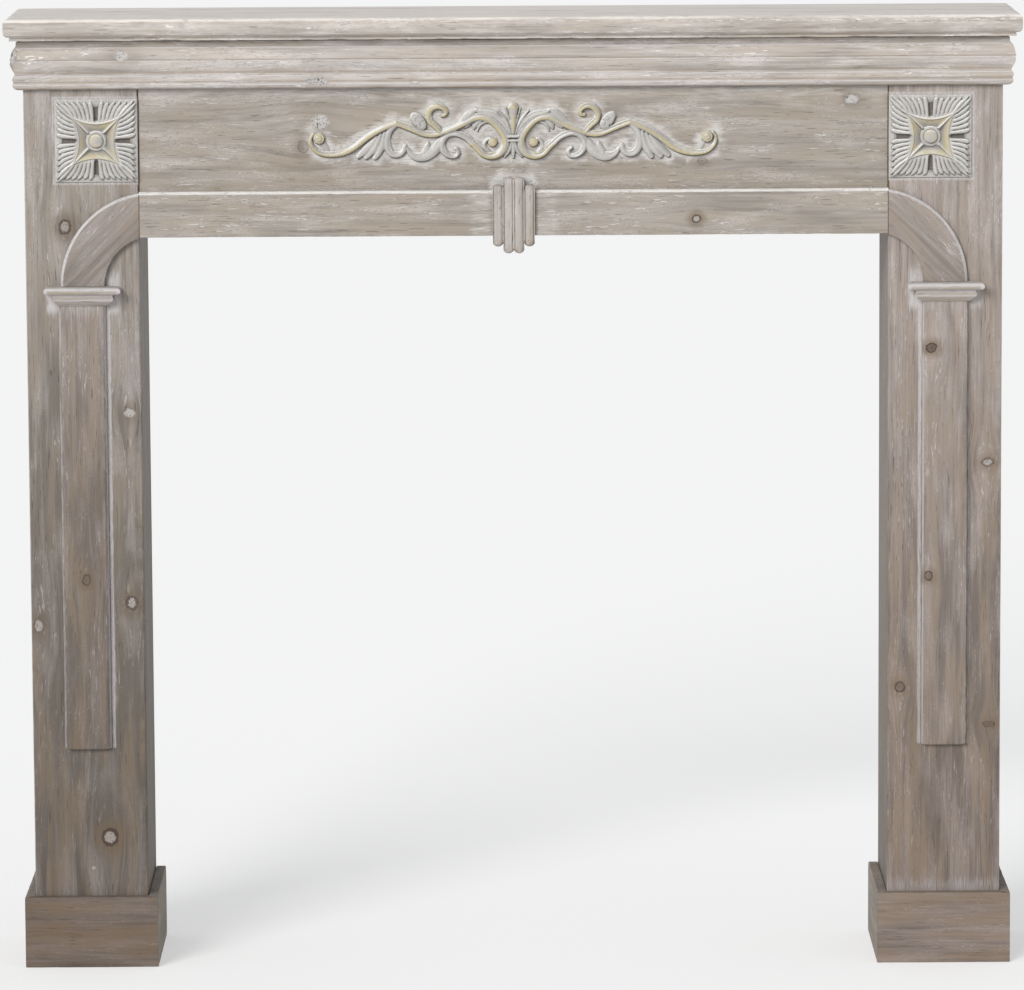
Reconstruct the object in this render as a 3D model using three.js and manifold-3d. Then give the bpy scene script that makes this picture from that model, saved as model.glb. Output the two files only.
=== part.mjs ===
// Fireplace mantelpiece in limed fir: two square legs on boxed plinths, a frieze with a carved scroll,
// a stepped cornice and a moulded shelf. Millimetres, +Z up, front towards -Y, floor at z = 0.
import * as THREE from 'three';
import { mergeVertices } from 'three/addons/utils/BufferGeometryUtils.js';
import Module from 'manifold-3d';

const wasm = await Module();
wasm.setup();
const { Manifold, Mesh } = wasm;

// Overall
const TOTAL_H = 1121;
const SHELF_W = 1180;
const SHELF_D = 205;
const SHELF_T = 26;
const SHELF_END_OVERHANG = 20.5;
const SHELF_FRONT_OVERHANG = 27;
const JOINT = 0.3; // glue line left between touching pieces
const EDGE = 0.8; // eased edge on every board

// Boards
const LEG_W = 133;
const BOARD_T = 15;
const FRIEZE_SETBACK = 2;
const PLINTH_H = 84.5;
const PLINTH_T = 12;

// Cornice
const CORNICE_H = 57.5;
const CORNICE_OUT = 14.2;

// Bands: strips, arches and the rail share one section
const BAND_W = 52;
const BAND_T = 8;
const BAND_BEVEL = 3.6;
const ARCH_R = 85.5; // radius of the band's middle line
const STRIP_FOOT = 260; // height of the strip's lower end

// Capital
const CAPITAL_H = 22.5;
const CAPITAL_SIDE = 18.8;
const CAPITAL_FRONT = 15;

// Rosette
const ROSETTE_W = 96.4;
const ROSETTE_DROP = 11.3; // below the cornice
const ROSETTE_TO_RAIL = 11.3;
const ROSETTE_BASE_T = 1.8;
const ROSETTE_H = 9;
const LOBES = 5; // leaf lobes in each eighth
const LEAF_MARGIN = 1.3;

// Keystone
const REED_W = 12.2;
const REED_H = 7;
const KEY_PLATE_W = 52.5;
const KEY_PLATE_T = 2.5;
const REED_TOP_LONG = 15.5;
const REED_TOP_SHORT = 6.8;
const REED_DROP_LONG = 20.5;
const REED_DROP_SHORT = 12.5;

// Scroll ornament
const SCROLL_HALF = 240.5; // half length
const SCROLL_LIFT = 8; // above the middle of the visible frieze
const SCROLL_H = 8.5; // greatest relief

// Places that follow from the sizes
const yWall = SHELF_D / 2;
const yShelf = -SHELF_D / 2;
const yLeg = yShelf + SHELF_FRONT_OVERHANG;
const yFrieze = yLeg + FRIEZE_SETBACK;
const yBand = yLeg - BAND_T;
const legOuter = SHELF_W / 2 - SHELF_END_OVERHANG;
const legInner = legOuter - LEG_W;
const legMid = (legOuter + legInner) / 2;
const zShelf = TOTAL_H - SHELF_T;
const zCornice = zShelf - CORNICE_H;
const zRosette = zCornice - ROSETTE_DROP - ROSETTE_W / 2;
const archOuter = ARCH_R + BAND_W / 2;
const archInner = ARCH_R - BAND_W / 2;
const archX = legMid - ARCH_R;
const archCut = legInner - archX;
const archRise = Math.sqrt(archOuter ** 2 - archCut ** 2);
const zRailTop = zRosette - ROSETTE_W / 2 - ROSETTE_TO_RAIL;
const zArch = zRailTop - archRise;
const zRailBottom = zArch + Math.sqrt(archInner ** 2 - archCut ** 2);
const zStripTop = zArch - CAPITAL_H;
const zScroll = (zCornice + zRailTop) / 2 + SCROLL_LIFT;

const LIMED = { name: 'limed_fir', color: 0xada69d, roughness: 0.72, metalness: 0 };
const CARVED = { name: 'carved_wood', color: 0xcfccc6, roughness: 0.7, metalness: 0 };
const group = new THREE.Group();
group.name = 'fireplace_mantelpiece';

function add(name, geometry, finish = LIMED) {
  const mesh = new THREE.Mesh(geometry, new THREE.MeshStandardMaterial(finish));
  mesh.name = name;
  group.add(mesh);
}

// Closed skin over rings of equal count; the first and last ring are closed by flat caps.
function skin(rings) {
  const n = rings[0].length;
  const points = rings.flat();
  const faces = [];
  for (let r = 0; r + 1 < rings.length; r += 1) {
    for (let i = 0; i < n; i += 1) {
      const a = r * n + i;
      const b = r * n + ((i + 1) % n);
      faces.push([a, b, b + n], [a, b + n, a + n]);
    }
  }
  const last = (rings.length - 1) * n;
  for (const [i, j, k] of flatCap(rings[0])) faces.push([i, k, j]);
  for (const [i, j, k] of flatCap(rings[rings.length - 1])) faces.push([last + i, last + j, last + k]);
  return outward(points, faces);
}

// Triangles of a flat polygon in space, wound like the polygon itself.
function flatCap(ring) {
  const normal = new THREE.Vector3();
  for (let i = 0; i < ring.length; i += 1) {
    const a = new THREE.Vector3(...ring[i]);
    const b = new THREE.Vector3(...ring[(i + 1) % ring.length]);
    normal.add(a.cross(b));
  }
  normal.normalize();
  const across = Math.abs(normal.z) < 0.9 ? new THREE.Vector3(0, 0, 1) : new THREE.Vector3(1, 0, 0);
  const u = across.clone().cross(normal).normalize();
  const v = normal.clone().cross(u);
  const flat = ring.map((p) => {
    const q = new THREE.Vector3(...p);
    return new THREE.Vector2(q.dot(u), q.dot(v));
  });
  return THREE.ShapeUtils.triangulateShape(flat, []);
}

// Geometry from points and faces, turned inside out where its volume comes out negative.
function outward(points, faces) {
  let volume = 0;
  for (const [i, j, k] of faces) {
    const a = new THREE.Vector3(...points[i]);
    const b = new THREE.Vector3(...points[j]);
    volume += a.dot(b.cross(new THREE.Vector3(...points[k])));
  }
  const geometry = new THREE.BufferGeometry();
  geometry.setAttribute('position', new THREE.Float32BufferAttribute(points.flat(), 3));
  geometry.setIndex(faces.flatMap(([i, j, k]) => (volume < 0 ? [i, k, j] : [i, j, k])));
  return shade(geometry);
}

function shade(geometry) {
  const loose = geometry.toNonIndexed();
  loose.computeVertexNormals();
  return loose;
}

function toSolid(geometry) {
  const bare = geometry.clone();
  bare.deleteAttribute('normal');
  bare.deleteAttribute('uv');
  const welded = mergeVertices(bare, 1e-4);
  return new Manifold(new Mesh({
    numProp: 3,
    vertProperties: new Float32Array(welded.attributes.position.array),
    triVerts: new Uint32Array(welded.index.array),
  }));
}

function fromSolid(solid) {
  const mesh = solid.getMesh();
  const geometry = new THREE.BufferGeometry();
  geometry.setAttribute('position', new THREE.BufferAttribute(new Float32Array(mesh.vertProperties), 3));
  geometry.setIndex(new THREE.BufferAttribute(new Uint32Array(mesh.triVerts), 1));
  return shade(geometry);
}

const union = (geometries) => fromSolid(geometries.map(toSolid).reduce((a, b) => a.add(b)));

// Rectangle with cut corners at height z, drawn in by inset.
function easedRing(x0, x1, y0, y1, z, inset, cut) {
  const [a, b, c, d] = [x0 + inset, x1 - inset, y0 + inset, y1 - inset];
  return [
    [a + cut, c, z], [b - cut, c, z], [b, c + cut, z], [b, d - cut, z],
    [b - cut, d, z], [a + cut, d, z], [a, d - cut, z], [a, c + cut, z],
  ];
}

// Board with all its edges eased.
function board(x0, x1, y0, y1, z0, z1, ease = EDGE) {
  return skin([
    easedRing(x0, x1, y0, y1, z0, ease, ease * 0.5),
    easedRing(x0, x1, y0, y1, z0 + ease, 0, ease),
    easedRing(x0, x1, y0, y1, z1 - ease, 0, ease),
    easedRing(x0, x1, y0, y1, z1, ease, ease * 0.5),
  ]);
}

const mirrorX = (geometry) => {
  const copy = geometry.clone();
  copy.scale(-1, 1, 1);
  const p = copy.attributes.position.array;
  const points = [];
  const faces = [];
  for (let i = 0; i < p.length; i += 3) points.push([p[i], p[i + 1], p[i + 2]]);
  for (let i = 0; i < points.length; i += 3) faces.push([i, i + 1, i + 2]);
  return outward(points, faces);
};

function addPair(name, geometry, finish = LIMED) {
  add(`${name}_right`, geometry, finish);
  add(`${name}_left`, mirrorX(geometry), finish);
}

// Shelf: one board whose front and ends carry a rounded nosing over a fillet.
{
  const face = SHELF_T * 0.27; // depth of the rounded lower corner
  const nose = SHELF_T * 0.2;
  const fillet = 5.5;
  const profile = [[fillet + 1, 0], [fillet + 1, 2.6], [fillet + 2, 3.4], [fillet + 1.2, 4.4]];
  for (let i = 0; i <= 4; i += 1) {
    const t = (i / 4) * (Math.PI / 2);
    profile.push([(fillet) * (1 - Math.sin(t)), 4.6 + face * 0.75 * (1 - Math.cos(t))]);
  }
  for (let i = 0; i <= 5; i += 1) {
    const t = (i / 5) * (Math.PI / 2);
    profile.push([nose * (1 - Math.cos(t)), SHELF_T - nose * (1 - Math.sin(t))]);
  }
  add('shelf_board', skin(profile.map(([inset, z]) => [
    [-SHELF_W / 2 + inset, yShelf + inset, zShelf + z],
    [SHELF_W / 2 - inset, yShelf + inset, zShelf + z],
    [SHELF_W / 2 - inset, yWall, zShelf + z],
    [-SHELF_W / 2 + inset, yWall, zShelf + z],
  ])));
}

// Cornice: section as share of the projection against share of the height, top to bottom.
{
  const section = [
    [0, 1], [0.5, 1], [0.48, 0.9], [0.6, 0.865], [0.78, 0.82], [0.89, 0.74], [0.92, 0.67], [1, 0.64], [1, 0.61],
    [0.92, 0.585], [0.99, 0.56], [0.98, 0.52], [0.9, 0.46], [0.77, 0.39], [0.62, 0.34], [0.62, 0.305],
    [0.76, 0.27], [0.82, 0.235], [0.8, 0.185], [0.68, 0.155], [0.8, 0.13], [0.8, 0.08], [0.7, 0.035], [0.45, 0],
    [0, 0],
  ];
  const height = CORNICE_H - JOINT;
  const at = (run) => section.map(([o, h]) => run(JOINT + o * (CORNICE_OUT - JOINT), zCornice + h * height));
  add('cornice_front', skin([
    at((o, z) => [-(legOuter + o - JOINT), yLeg - o, z]),
    at((o, z) => [legOuter + o - JOINT, yLeg - o, z]),
  ]));
  addPair('cornice', skin([
    at((o, z) => [legOuter + o, yLeg - o + JOINT, z]),
    at((o, z) => [legOuter + o, yWall, z]),
  ]));
}

// Frieze board, and the rail on it with a bevelled upper edge.
const friezeEnd = legInner - JOINT;
add('frieze_board', board(-friezeEnd, friezeEnd, yFrieze, yFrieze + BOARD_T, zRailBottom, zShelf - JOINT));
{
  const back = yFrieze - JOINT;
  const section = [
    [back, zRailBottom], [back, zRailTop], [yBand + BAND_BEVEL, zRailTop], [yBand, zRailTop - BAND_BEVEL],
    [yBand, zRailBottom + EDGE], [yBand + EDGE, zRailBottom],
  ];
  add('rail_board', skin([-friezeEnd, friezeEnd].map((x) => section.map(([y, z]) => [x, y, z]))));
}

// Keystone: four half-round reeds on a thin plate, the middle pair longer.
{
  const back = yBand - JOINT;
  const face = back - KEY_PLATE_T;
  const reed = (x, top, bottom) => {
    const rings = [];
    const ends = [[0, 0.35], [0.12, 0.68], [0.35, 0.9], [0.75, 1]];
    const radius = REED_W / 2;
    const section = (z, s) => {
      const ring = [[x + radius * s, back, z]];
      for (let i = 0; i <= 6; i += 1) {
        const t = (i / 6) * Math.PI;
        ring.push([x + radius * s * Math.cos(t), face - (REED_H - KEY_PLATE_T) * s * Math.sin(t), z]);
      }
      ring.push([x - radius * s, back, z]);
      return ring;
    };
    for (const [d, s] of ends) rings.push(section(bottom + d * radius, s));
    for (const [d, s] of ends.slice(1).reverse()) rings.push(section(top - d * radius, s));
    return skin(rings);
  };
  const parts = [];
  for (const side of [-1, 1]) {
    parts.push(reed(side * REED_W * 0.498, zRailTop + REED_TOP_LONG, zRailBottom - REED_DROP_LONG));
    parts.push(reed(side * REED_W * 1.49, zRailTop + REED_TOP_SHORT, zRailBottom - REED_DROP_SHORT));
  }
  const half = KEY_PLATE_W / 2;
  parts.push(board(-half, half, face, back, zRailBottom, zRailTop + REED_TOP_SHORT * 0.4, 0.4));
  // head block behind the middle pair, resting on the rail against the frieze
  const head = REED_W * 0.95;
  const seat = yFrieze - JOINT;
  parts.push(board(-head, head, back - 1, seat, zRailTop + JOINT, zRailTop + REED_TOP_LONG - 2, 0.4));
  add('keystone', union(parts));
}

// Leg boards: the front board laps over the two side boards, open behind.
addPair('leg_front', board(legInner, legOuter, yLeg, yLeg + BOARD_T, 0, zShelf - JOINT));
addPair('leg_outer', board(legOuter - BOARD_T, legOuter, yLeg + BOARD_T + JOINT, yWall, 0, zShelf - JOINT));
addPair('leg_inner', board(legInner, legInner + BOARD_T, yLeg + BOARD_T + JOINT, yWall, 0, zShelf - JOINT));

// Plinth: three boards round the leg, mitred at the two front corners.
{
  const wall = PLINTH_T - JOINT;
  const mitred = (corners) => skin([[0, 0], [PLINTH_H - EDGE, 0], [PLINTH_H, EDGE]].map(([z, ease]) => corners(ease, z)));
  const [x0, x1, y0] = [legInner - PLINTH_T, legOuter + PLINTH_T, yLeg - PLINTH_T];
  addPair('plinth_front', mitred((e, z) => [
    [x0 + JOINT + e, y0 + e, z], [x1 - JOINT - e, y0 + e, z],
    [x1 - JOINT - wall, y0 + wall, z], [x0 + JOINT + wall, y0 + wall, z],
  ]));
  addPair('plinth_outer', mitred((e, z) => [
    [x1 - e, y0 + JOINT + e, z], [x1 - e, yWall, z], [x1 - wall, yWall, z], [x1 - wall, y0 + JOINT + wall, z],
  ]));
  addPair('plinth_inner', mitred((e, z) => [
    [x0 + wall, y0 + JOINT + wall, z], [x0 + wall, yWall, z], [x0 + e, yWall, z], [x0 + e, y0 + JOINT + e, z],
  ]));
}

// Strip down the leg, its arris softened.
const stripHalf = BAND_W / 2;
addPair('strip', board(legMid - stripHalf, legMid + stripHalf, yBand, yLeg - JOINT, STRIP_FOOT, zStripTop - JOINT, 1.8));

// Capital: section as share of the projection against share of the height, returned at both ends.
{
  const section = [
    [0.1, 0], [0.14, 0.02], [0.42, 0.2], [0.53, 0.3], [0.56, 0.4], [0.5, 0.48], [0.48, 0.5], [0.48, 0.58],
    [0.72, 0.6], [0.92, 0.64], [1, 0.74], [1, 0.84], [0.93, 0.95], [0.8, 1],
  ];
  addPair('capital', skin(section.map(([p, h]) => {
    const half = stripHalf + p * CAPITAL_SIDE;
    const front = yBand - p * CAPITAL_FRONT;
    const z = zStripTop + h * (CAPITAL_H - JOINT);
    return [
      [legMid - half, front, z], [legMid + half, front, z],
      [legMid + half, yLeg - JOINT, z], [legMid - half, yLeg - JOINT, z],
    ];
  })));
}

// Arch band: a quarter ring from the capital to the leg's inner edge, its outer arris bevelled.
{
  const steps = 14;
  const arc = (radius, y) => {
    const end = Math.acos(archCut / radius);
    return Array.from({ length: steps + 1 }, (_, i) => {
      const a = (i / steps) * end;
      return [archX + radius * Math.cos(a), y, zArch + radius * Math.sin(a)];
    });
  };
  const outline = (radius, y) => [...arc(radius, y), ...arc(archInner, y).reverse()];
  addPair('arch_band', skin([
    outline(archOuter, yLeg - JOINT),
    outline(archOuter, yBand + BAND_BEVEL * 0.8),
    outline(archOuter - BAND_BEVEL, yBand),
  ]));
}

// Rosette: button, dished four-pointed star and a fan of fluted leaves, on a thin square base.
{
  const half = ROSETTE_W / 2;
  const leaf = half - LEAF_MARGIN;
  const per = LOBES * 2;
  const count = per * 8;
  const ridge = (a) => Math.exp(-(((1 - a) / 0.2) ** 2));
  const slot = (a) => (a < 0.06 ? 1 : 0);
  const flute = (k) => (k % 2 ? 1 : -1);
  // Every ring gives, for a place a along an eighth (0 mid-side, 1 corner), [across, out, height].
  const round = (radius, height) => (a) => {
    const t = (a * Math.PI) / 4;
    return [radius * Math.sin(t), radius * Math.cos(t), height + 0 * a];
  };
  const rim = (a) => [leaf * 0.58 * a, leaf * (0.425 + 0.155 * a * a), ROSETTE_H * (0.8 + 0.12 * ridge(a))];
  const between = (s, drop, cut) => (a, k) => {
    const [x, z, h] = rim(a);
    const tip = leaf * a ** 0.95;
    const base = ROSETTE_H * (0.8 - drop) + 0.55 * flute(k) * s;
    const height = base + (h - base) * ridge(a) * (1 - 0.35 * s);
    return [x + (tip - x) * s ** 1.1, z + (leaf - z) * s, slot(a) ? ROSETTE_H * cut : height];
  };
  const bowl = (s) => (a) => {
    const [x0, z0] = round(leaf * 0.27, 0)(a);
    const [x1, z1, h1] = rim(a);
    const floor = ROSETTE_H * (0.36 + 0.1 * s);
    return [x0 + (x1 - x0) * s, z0 + (z1 - z0) * s, floor + (h1 * 0.9 - floor) * ridge(a)];
  };
  const edge = (size, height) => (a) => [size * a, size, height];
  const rings = [
    round(leaf * 0.15, ROSETTE_H * 0.93), round(leaf * 0.2, ROSETTE_H * 0.6),
    bowl(0), bowl(0.5), rim, between(0.1, 0, 0.3), between(0.55, 0.16, 0.3), between(1, 0.42, 0.3),
    (a) => [leaf * a ** 0.95, leaf, ROSETTE_BASE_T], edge(half, ROSETTE_BASE_T - 0.6), edge(half, 0),
  ];
  const [cx, back] = [legInner + half + JOINT, yLeg - JOINT];
  const points = [];
  for (const ring of rings) {
    for (let i = 0; i < count; i += 1) {
      const eighth = Math.floor(i / per);
      const odd = eighth % 2;
      const k = odd ? per - (i % per) : i % per;
      const [x, z, h] = ring(k / per, k);
      const side = odd ? -x : x;
      const turn = Math.floor((eighth + 1) / 2) * (Math.PI / 2);
      const [c, s] = [Math.cos(turn), Math.sin(turn)];
      points.push([cx + side * c + z * s, back - h, zRosette - side * s + z * c]);
    }
  }
  const top = points.push([cx, back - ROSETTE_H * 1.02, zRosette]) - 1;
  const under = points.push([cx, back, zRosette]) - 1;
  const faces = [];
  for (let i = 0; i < count; i += 1) {
    const j = (i + 1) % count;
    faces.push([top, i, j]);
    for (let r = 0; r + 1 < rings.length; r += 1) {
      const [a, b] = [r * count + i, r * count + j];
      faces.push([a, a + count, b + count], [a, b + count, b]);
    }
    const last = (rings.length - 1) * count;
    faces.push([under, last + j, last + i]);
  }
  addPair('rosette', outward(points, faces), CARVED);
}

// Scroll ornament. A stroke is a start, a heading and a chain of arcs, each [length, turn in degrees], with
// half widths at its start, middle and end and its relief as a share of SCROLL_H. Only one half is drawn.
{
  const strokes = [
    { at: [232.3, -1.9], head: 314, arcs: [[15.3, -76], [16.4, -48], [44.3, -51], [50.2, 24]], w: [1.6, 3.6, 3.4], h: 0.85 },
    { at: [135.6, 10.5], head: 198, arcs: [[30, 6], [25.1, -47]], w: [3.4, 3.8, 3.6], h: 0.85 },
    { at: [83.2, -0.6], head: 162, arcs: [[36.8, -12], [30, 73], [18.6, 19], [50.6, 172], [12.1, -21]], w: [3.6, 4.6, 3.6], h: 1 },
    { at: [47.7, -12.7], head: 50, arcs: [[23, -42], [44.9, -191], [13.5, -159]], w: [3.6, 3.6, 2], h: 0.9 },
    { at: [135.6, 8.8], head: 332, arcs: [[35.5, -93], [25, -149]], w: [3, 4, 2.6], h: 0.75 },
    { at: [122.8, -19.2], head: 251, arcs: [[23.7, -91], [35.4, -56]], w: [1.6, 5.6, 2.6], h: 0.75 },
    { at: [85.5, 1.7], head: 53, arcs: [[12, -16], [37.4, 197], [9.3, 138]], w: [3.2, 3.6, 2.2], h: 0.9 },
    { at: [158.9, -5.2], head: 304, arcs: [[31.5, 18]], w: [1.6, 4, 1.4], h: 0.6 },
    { at: [154.2, -2.3], head: 289, arcs: [[32, 27]], w: [1.6, 4.1, 1.4], h: 0.62 },
    { at: [149.6, 0], head: 274, arcs: [[32, 33]], w: [1.6, 4.1, 1.4], h: 0.64 },
    { at: [44.8, 14.4], head: 334, arcs: [[16.3, -29]], w: [3, 3.2, 0.8], h: 0.6 },
    { at: [36.7, 14.4], head: 340, arcs: [[15.7, -63]], w: [3, 3.2, 0.8], h: 0.6 },
    { at: [20.4, 7.6], head: 51, arcs: [[28.5, -138]], w: [2.4, 2.2, 1], h: 0.55 },
    { at: [60, 9.9], head: 128, arcs: [[24.5, 18]], w: [4, 4.6, 1], h: 0.7 },
    { at: [42.6, 25.4], head: 209, arcs: [[10.6, -21], [39.5, 68]], w: [2, 3.8, 1.8], h: 0.65 },
    { at: [18, 24.5], head: 223, arcs: [[31.8, 35]], w: [1, 2.2, 1.6], h: 0.7 },
    { at: [8.7, 27.4], head: 249, arcs: [[31.2, 16]], w: [1.6, 2.2, 1.6], h: 0.7 },
    { at: [46, -11.1], head: 203, arcs: [[14.9, 14], [10, 30]], w: [2.6, 2.6, 1.4], h: 0.5 },
    { at: [1.7, -9], head: 271, arcs: [[22.6, 43]], w: [1.6, 2.2, 1.2], h: 0.7 },
    { at: [103.5, -23.5], head: 122, arcs: [[12.5, -20]], w: [3.2, 3.2, 1], h: 0.55 },
    { at: [93, -19.5], head: 132, arcs: [[12, -25]], w: [3.2, 3.2, 1], h: 0.55 },
    { at: [223.5, -9], head: 232, arcs: [[16, 20]], w: [2.4, 2.6, 2.4], h: 0.5 },
    { at: [27.6, -8], head: 345, arcs: [[17, -118]], w: [1.8, 2.2, 1.4], h: 0.6 },
    { at: [-5.6, -5.4], head: 0, arcs: [[11.2, 0]], w: [1.9, 2, 1.9], h: 0.95, once: true },
    { at: [-5.2, -10.2], head: 0, arcs: [[10.4, 0]], w: [1.9, 2, 1.9], h: 0.9, once: true },
    { at: [0, -3], head: 90, arcs: [[31, 0]], w: [1.8, 3.6, 4], h: 0.8, once: true },
    { at: [0, -9], head: 270, arcs: [[21, 0]], w: [1.8, 2.4, 1.4], h: 0.7, once: true },
  ];
  // domes: centre, radii along and across, lean in degrees, relief share
  const domes = [
    { at: [225.7, -7], r: [6.6, 6.6], lean: 0, h: 0.95 },
    { at: [23.8, -12.7], r: [5.4, 5.4], lean: 0, h: 0.85 },
    { at: [110, 12.5], r: [12, 7], lean: 50, h: 0.8 },
    { at: [0, 28], r: [4.6, 4.2], lean: 0, h: 0.85, once: true },
  ];
  const scale = SCROLL_HALF / 240.5;
  const back = yFrieze - JOINT;
  const place = (x, z, h) => [x * scale, back - h, zScroll + z * scale];

  // Points along the chain with heading and share of the length.
  const walk = ({ at, head, arcs }) => {
    const total = arcs.reduce((sum, [length]) => sum + length, 0);
    let [x, z] = at;
    let a = (head * Math.PI) / 180;
    let gone = 0;
    const path = [{ x, z, a, s: 0 }];
    for (const [length, degrees] of arcs) {
      const steps = Math.max(1, Math.ceil(Math.max(Math.abs(degrees) / 25, length / 20)));
      const turn = (degrees * Math.PI) / 180 / steps;
      const step = length / steps;
      const chord = Math.abs(turn) < 1e-6 ? step : (step * Math.sin(turn / 2)) / (turn / 2);
      for (let i = 0; i < steps; i += 1) {
        x += chord * Math.cos(a + turn / 2);
        z += chord * Math.sin(a + turn / 2);
        a += turn;
        gone += step;
        path.push({ x, z, a, s: gone / total });
      }
    }
    return path;
  };
  const sweep = (stroke) => skin(walk(stroke).map(({ x, z, a, s }) => {
    const [w0, w1, w2] = stroke.w;
    const w = s < 0.5 ? w0 + (w1 - w0) * Math.sin(s * Math.PI) : w2 + (w1 - w2) * Math.sin(s * Math.PI);
    const h = SCROLL_H * stroke.h * Math.min(1, 0.45 + w / w1 * 0.55);
    const section = w1 < 3.3 ? [[-w, 0], [0, h], [w, 0]] : [[-w, 0], [-0.8 * w, h * 0.62], [0, h], [0.8 * w, h * 0.62], [w, 0]];
    return section.map(([o, rise]) => place(x - o * Math.sin(a), z + o * Math.cos(a), rise));
  }));
  const dome = ({ at, r, lean, h }) => {
    const [c, s] = [Math.cos((lean * Math.PI) / 180), Math.sin((lean * Math.PI) / 180)];
    const levels = [[1, 0], [0.97, 0.4], [0.75, 0.8], [0.35, 1]];
    return skin(levels.map(([spread, rise]) => Array.from({ length: 12 }, (_, i) => {
      const t = (i / 12) * 2 * Math.PI;
      const [p, q] = [r[0] * spread * Math.cos(t), r[1] * spread * Math.sin(t)];
      return place(at[0] + p * c - q * s, at[1] + p * s + q * c, SCROLL_H * h * rise);
    })));
  };
  const drawn = [...strokes.map((k) => [k, sweep(k)]), ...domes.map((k) => [k, dome(k)])];
  const parts = drawn.flatMap(([k, g]) => (k.once ? [g] : [g, mirrorX(g)]));
  add('scroll_ornament', union(parts), CARVED);
}

export default group;
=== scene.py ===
"""Looks of the fireplace mantelpiece: worn limed fir, carved scroll and rosettes, camera, floor and light.

Formulas are in millimetres in the frame of the solids (front -Y, up +Z); meshes are in metres."""
import math

import bmesh
import bpy
import numpy as np
from mathutils import Matrix, Vector


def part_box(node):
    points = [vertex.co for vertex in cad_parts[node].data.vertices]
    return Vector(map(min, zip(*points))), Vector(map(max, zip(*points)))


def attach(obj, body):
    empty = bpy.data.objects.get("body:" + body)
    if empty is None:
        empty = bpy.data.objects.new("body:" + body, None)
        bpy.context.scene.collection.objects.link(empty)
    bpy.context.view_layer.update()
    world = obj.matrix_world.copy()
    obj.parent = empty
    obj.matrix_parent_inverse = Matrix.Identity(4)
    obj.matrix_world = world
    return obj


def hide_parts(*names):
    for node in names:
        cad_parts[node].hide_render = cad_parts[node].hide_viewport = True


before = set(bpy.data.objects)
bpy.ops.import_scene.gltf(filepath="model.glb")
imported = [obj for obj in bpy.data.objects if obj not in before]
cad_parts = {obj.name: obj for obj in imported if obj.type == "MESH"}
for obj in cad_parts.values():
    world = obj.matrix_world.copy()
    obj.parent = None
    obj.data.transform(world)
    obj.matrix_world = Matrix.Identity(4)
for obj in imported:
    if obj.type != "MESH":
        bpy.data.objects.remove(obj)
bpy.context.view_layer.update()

MM = 0.001


def extent(node):
    """x0, x1, y0, y1, z0, z1 of a CAD node in millimetres."""
    low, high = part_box(node)
    return [value / MM for pair in zip(low, high) for value in pair]


# Sizes read from the solids
SHELF = extent("shelf_board")
FRIEZE = extent("frieze_board")
RAIL = extent("rail_board")
LEG = extent("leg_front_right")
STRIP = extent("strip_right")
CAPITAL = extent("capital_right")
ROSETTE = extent("rosette_right")
ARCH = extent("arch_band_right")
KEY = extent("keystone")
CORNICE = extent("cornice_front")

Y_WALL = SHELF[3]
Y_LEG = LEG[2]
Y_FRIEZE = FRIEZE[2]
Y_BAND = STRIP[2]
LEG_IN, LEG_OUT = LEG[0], LEG[1]
LEG_MID = (LEG_IN + LEG_OUT) / 2
JOINT = 0.3  # glue line between pieces, as in the solids
Z_RAIL_TOP = RAIL[5]
Z_RAIL_BOTTOM = RAIL[4]
Z_ARCH = ARCH[4]
ROSETTE_HALF = (ROSETTE[5] - ROSETTE[4]) / 2
ROSETTE_X = (ROSETTE[0] + ROSETTE[1]) / 2
ROSETTE_Z = (ROSETTE[4] + ROSETTE[5]) / 2
ROSETTE_RISE = 9.0
BAND_HALF = (STRIP[1] - STRIP[0]) / 2
ARCH_BEVEL = 3.6
ARCH_OUTER = Z_RAIL_TOP - Z_ARCH  # radii of the arch band, and where its middle is
ARCH_INNER = ARCH_OUTER - 2 * BAND_HALF
ARCH_CENTRE = LEG_MID - (ARCH_OUTER - BAND_HALF)
SCROLL_Z = (CORNICE[4] + Z_RAIL_TOP) / 2 + 8
SCROLL_RISE = 8.5


# Noise and wear
def lattice(cell, seed):
    """A repeatable random number from 0 to 1 for each whole-number cell."""
    x, y, z = (cell[..., i].astype(np.uint32) for i in range(3))
    mixed = x * np.uint32(73856093) ^ y * np.uint32(19349663) ^ z * np.uint32(83492791)
    mixed ^= np.uint32((seed * 2654435761 + 97) % 2**32)
    mixed ^= mixed >> np.uint32(13)
    mixed *= np.uint32(1274126177)
    mixed ^= mixed >> np.uint32(16)
    return mixed / 2.0**32


def noise(points, size, seed=0):
    """Smooth noise from 0 to 1: random numbers on a lattice of cells of that size, blended by an eased
    weight."""
    scaled = np.asarray(points, float) / np.asarray(size, float)
    cell = np.floor(scaled).astype(np.int64)
    part = scaled - cell
    part = part * part * (3 - 2 * part)
    total = np.zeros(part.shape[:-1])
    for corner in np.ndindex(2, 2, 2):
        step = np.array(corner)
        weight = np.prod(np.where(step == 1, part, 1 - part), axis=-1)
        total += weight * lattice(cell + step, seed)
    return total


def rise(low, high, value):
    """0 below low, 1 above high, and an eased step between."""
    share = np.clip((value - low) / (high - low), 0, 1)
    return share * share * (3 - 2 * share)


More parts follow.
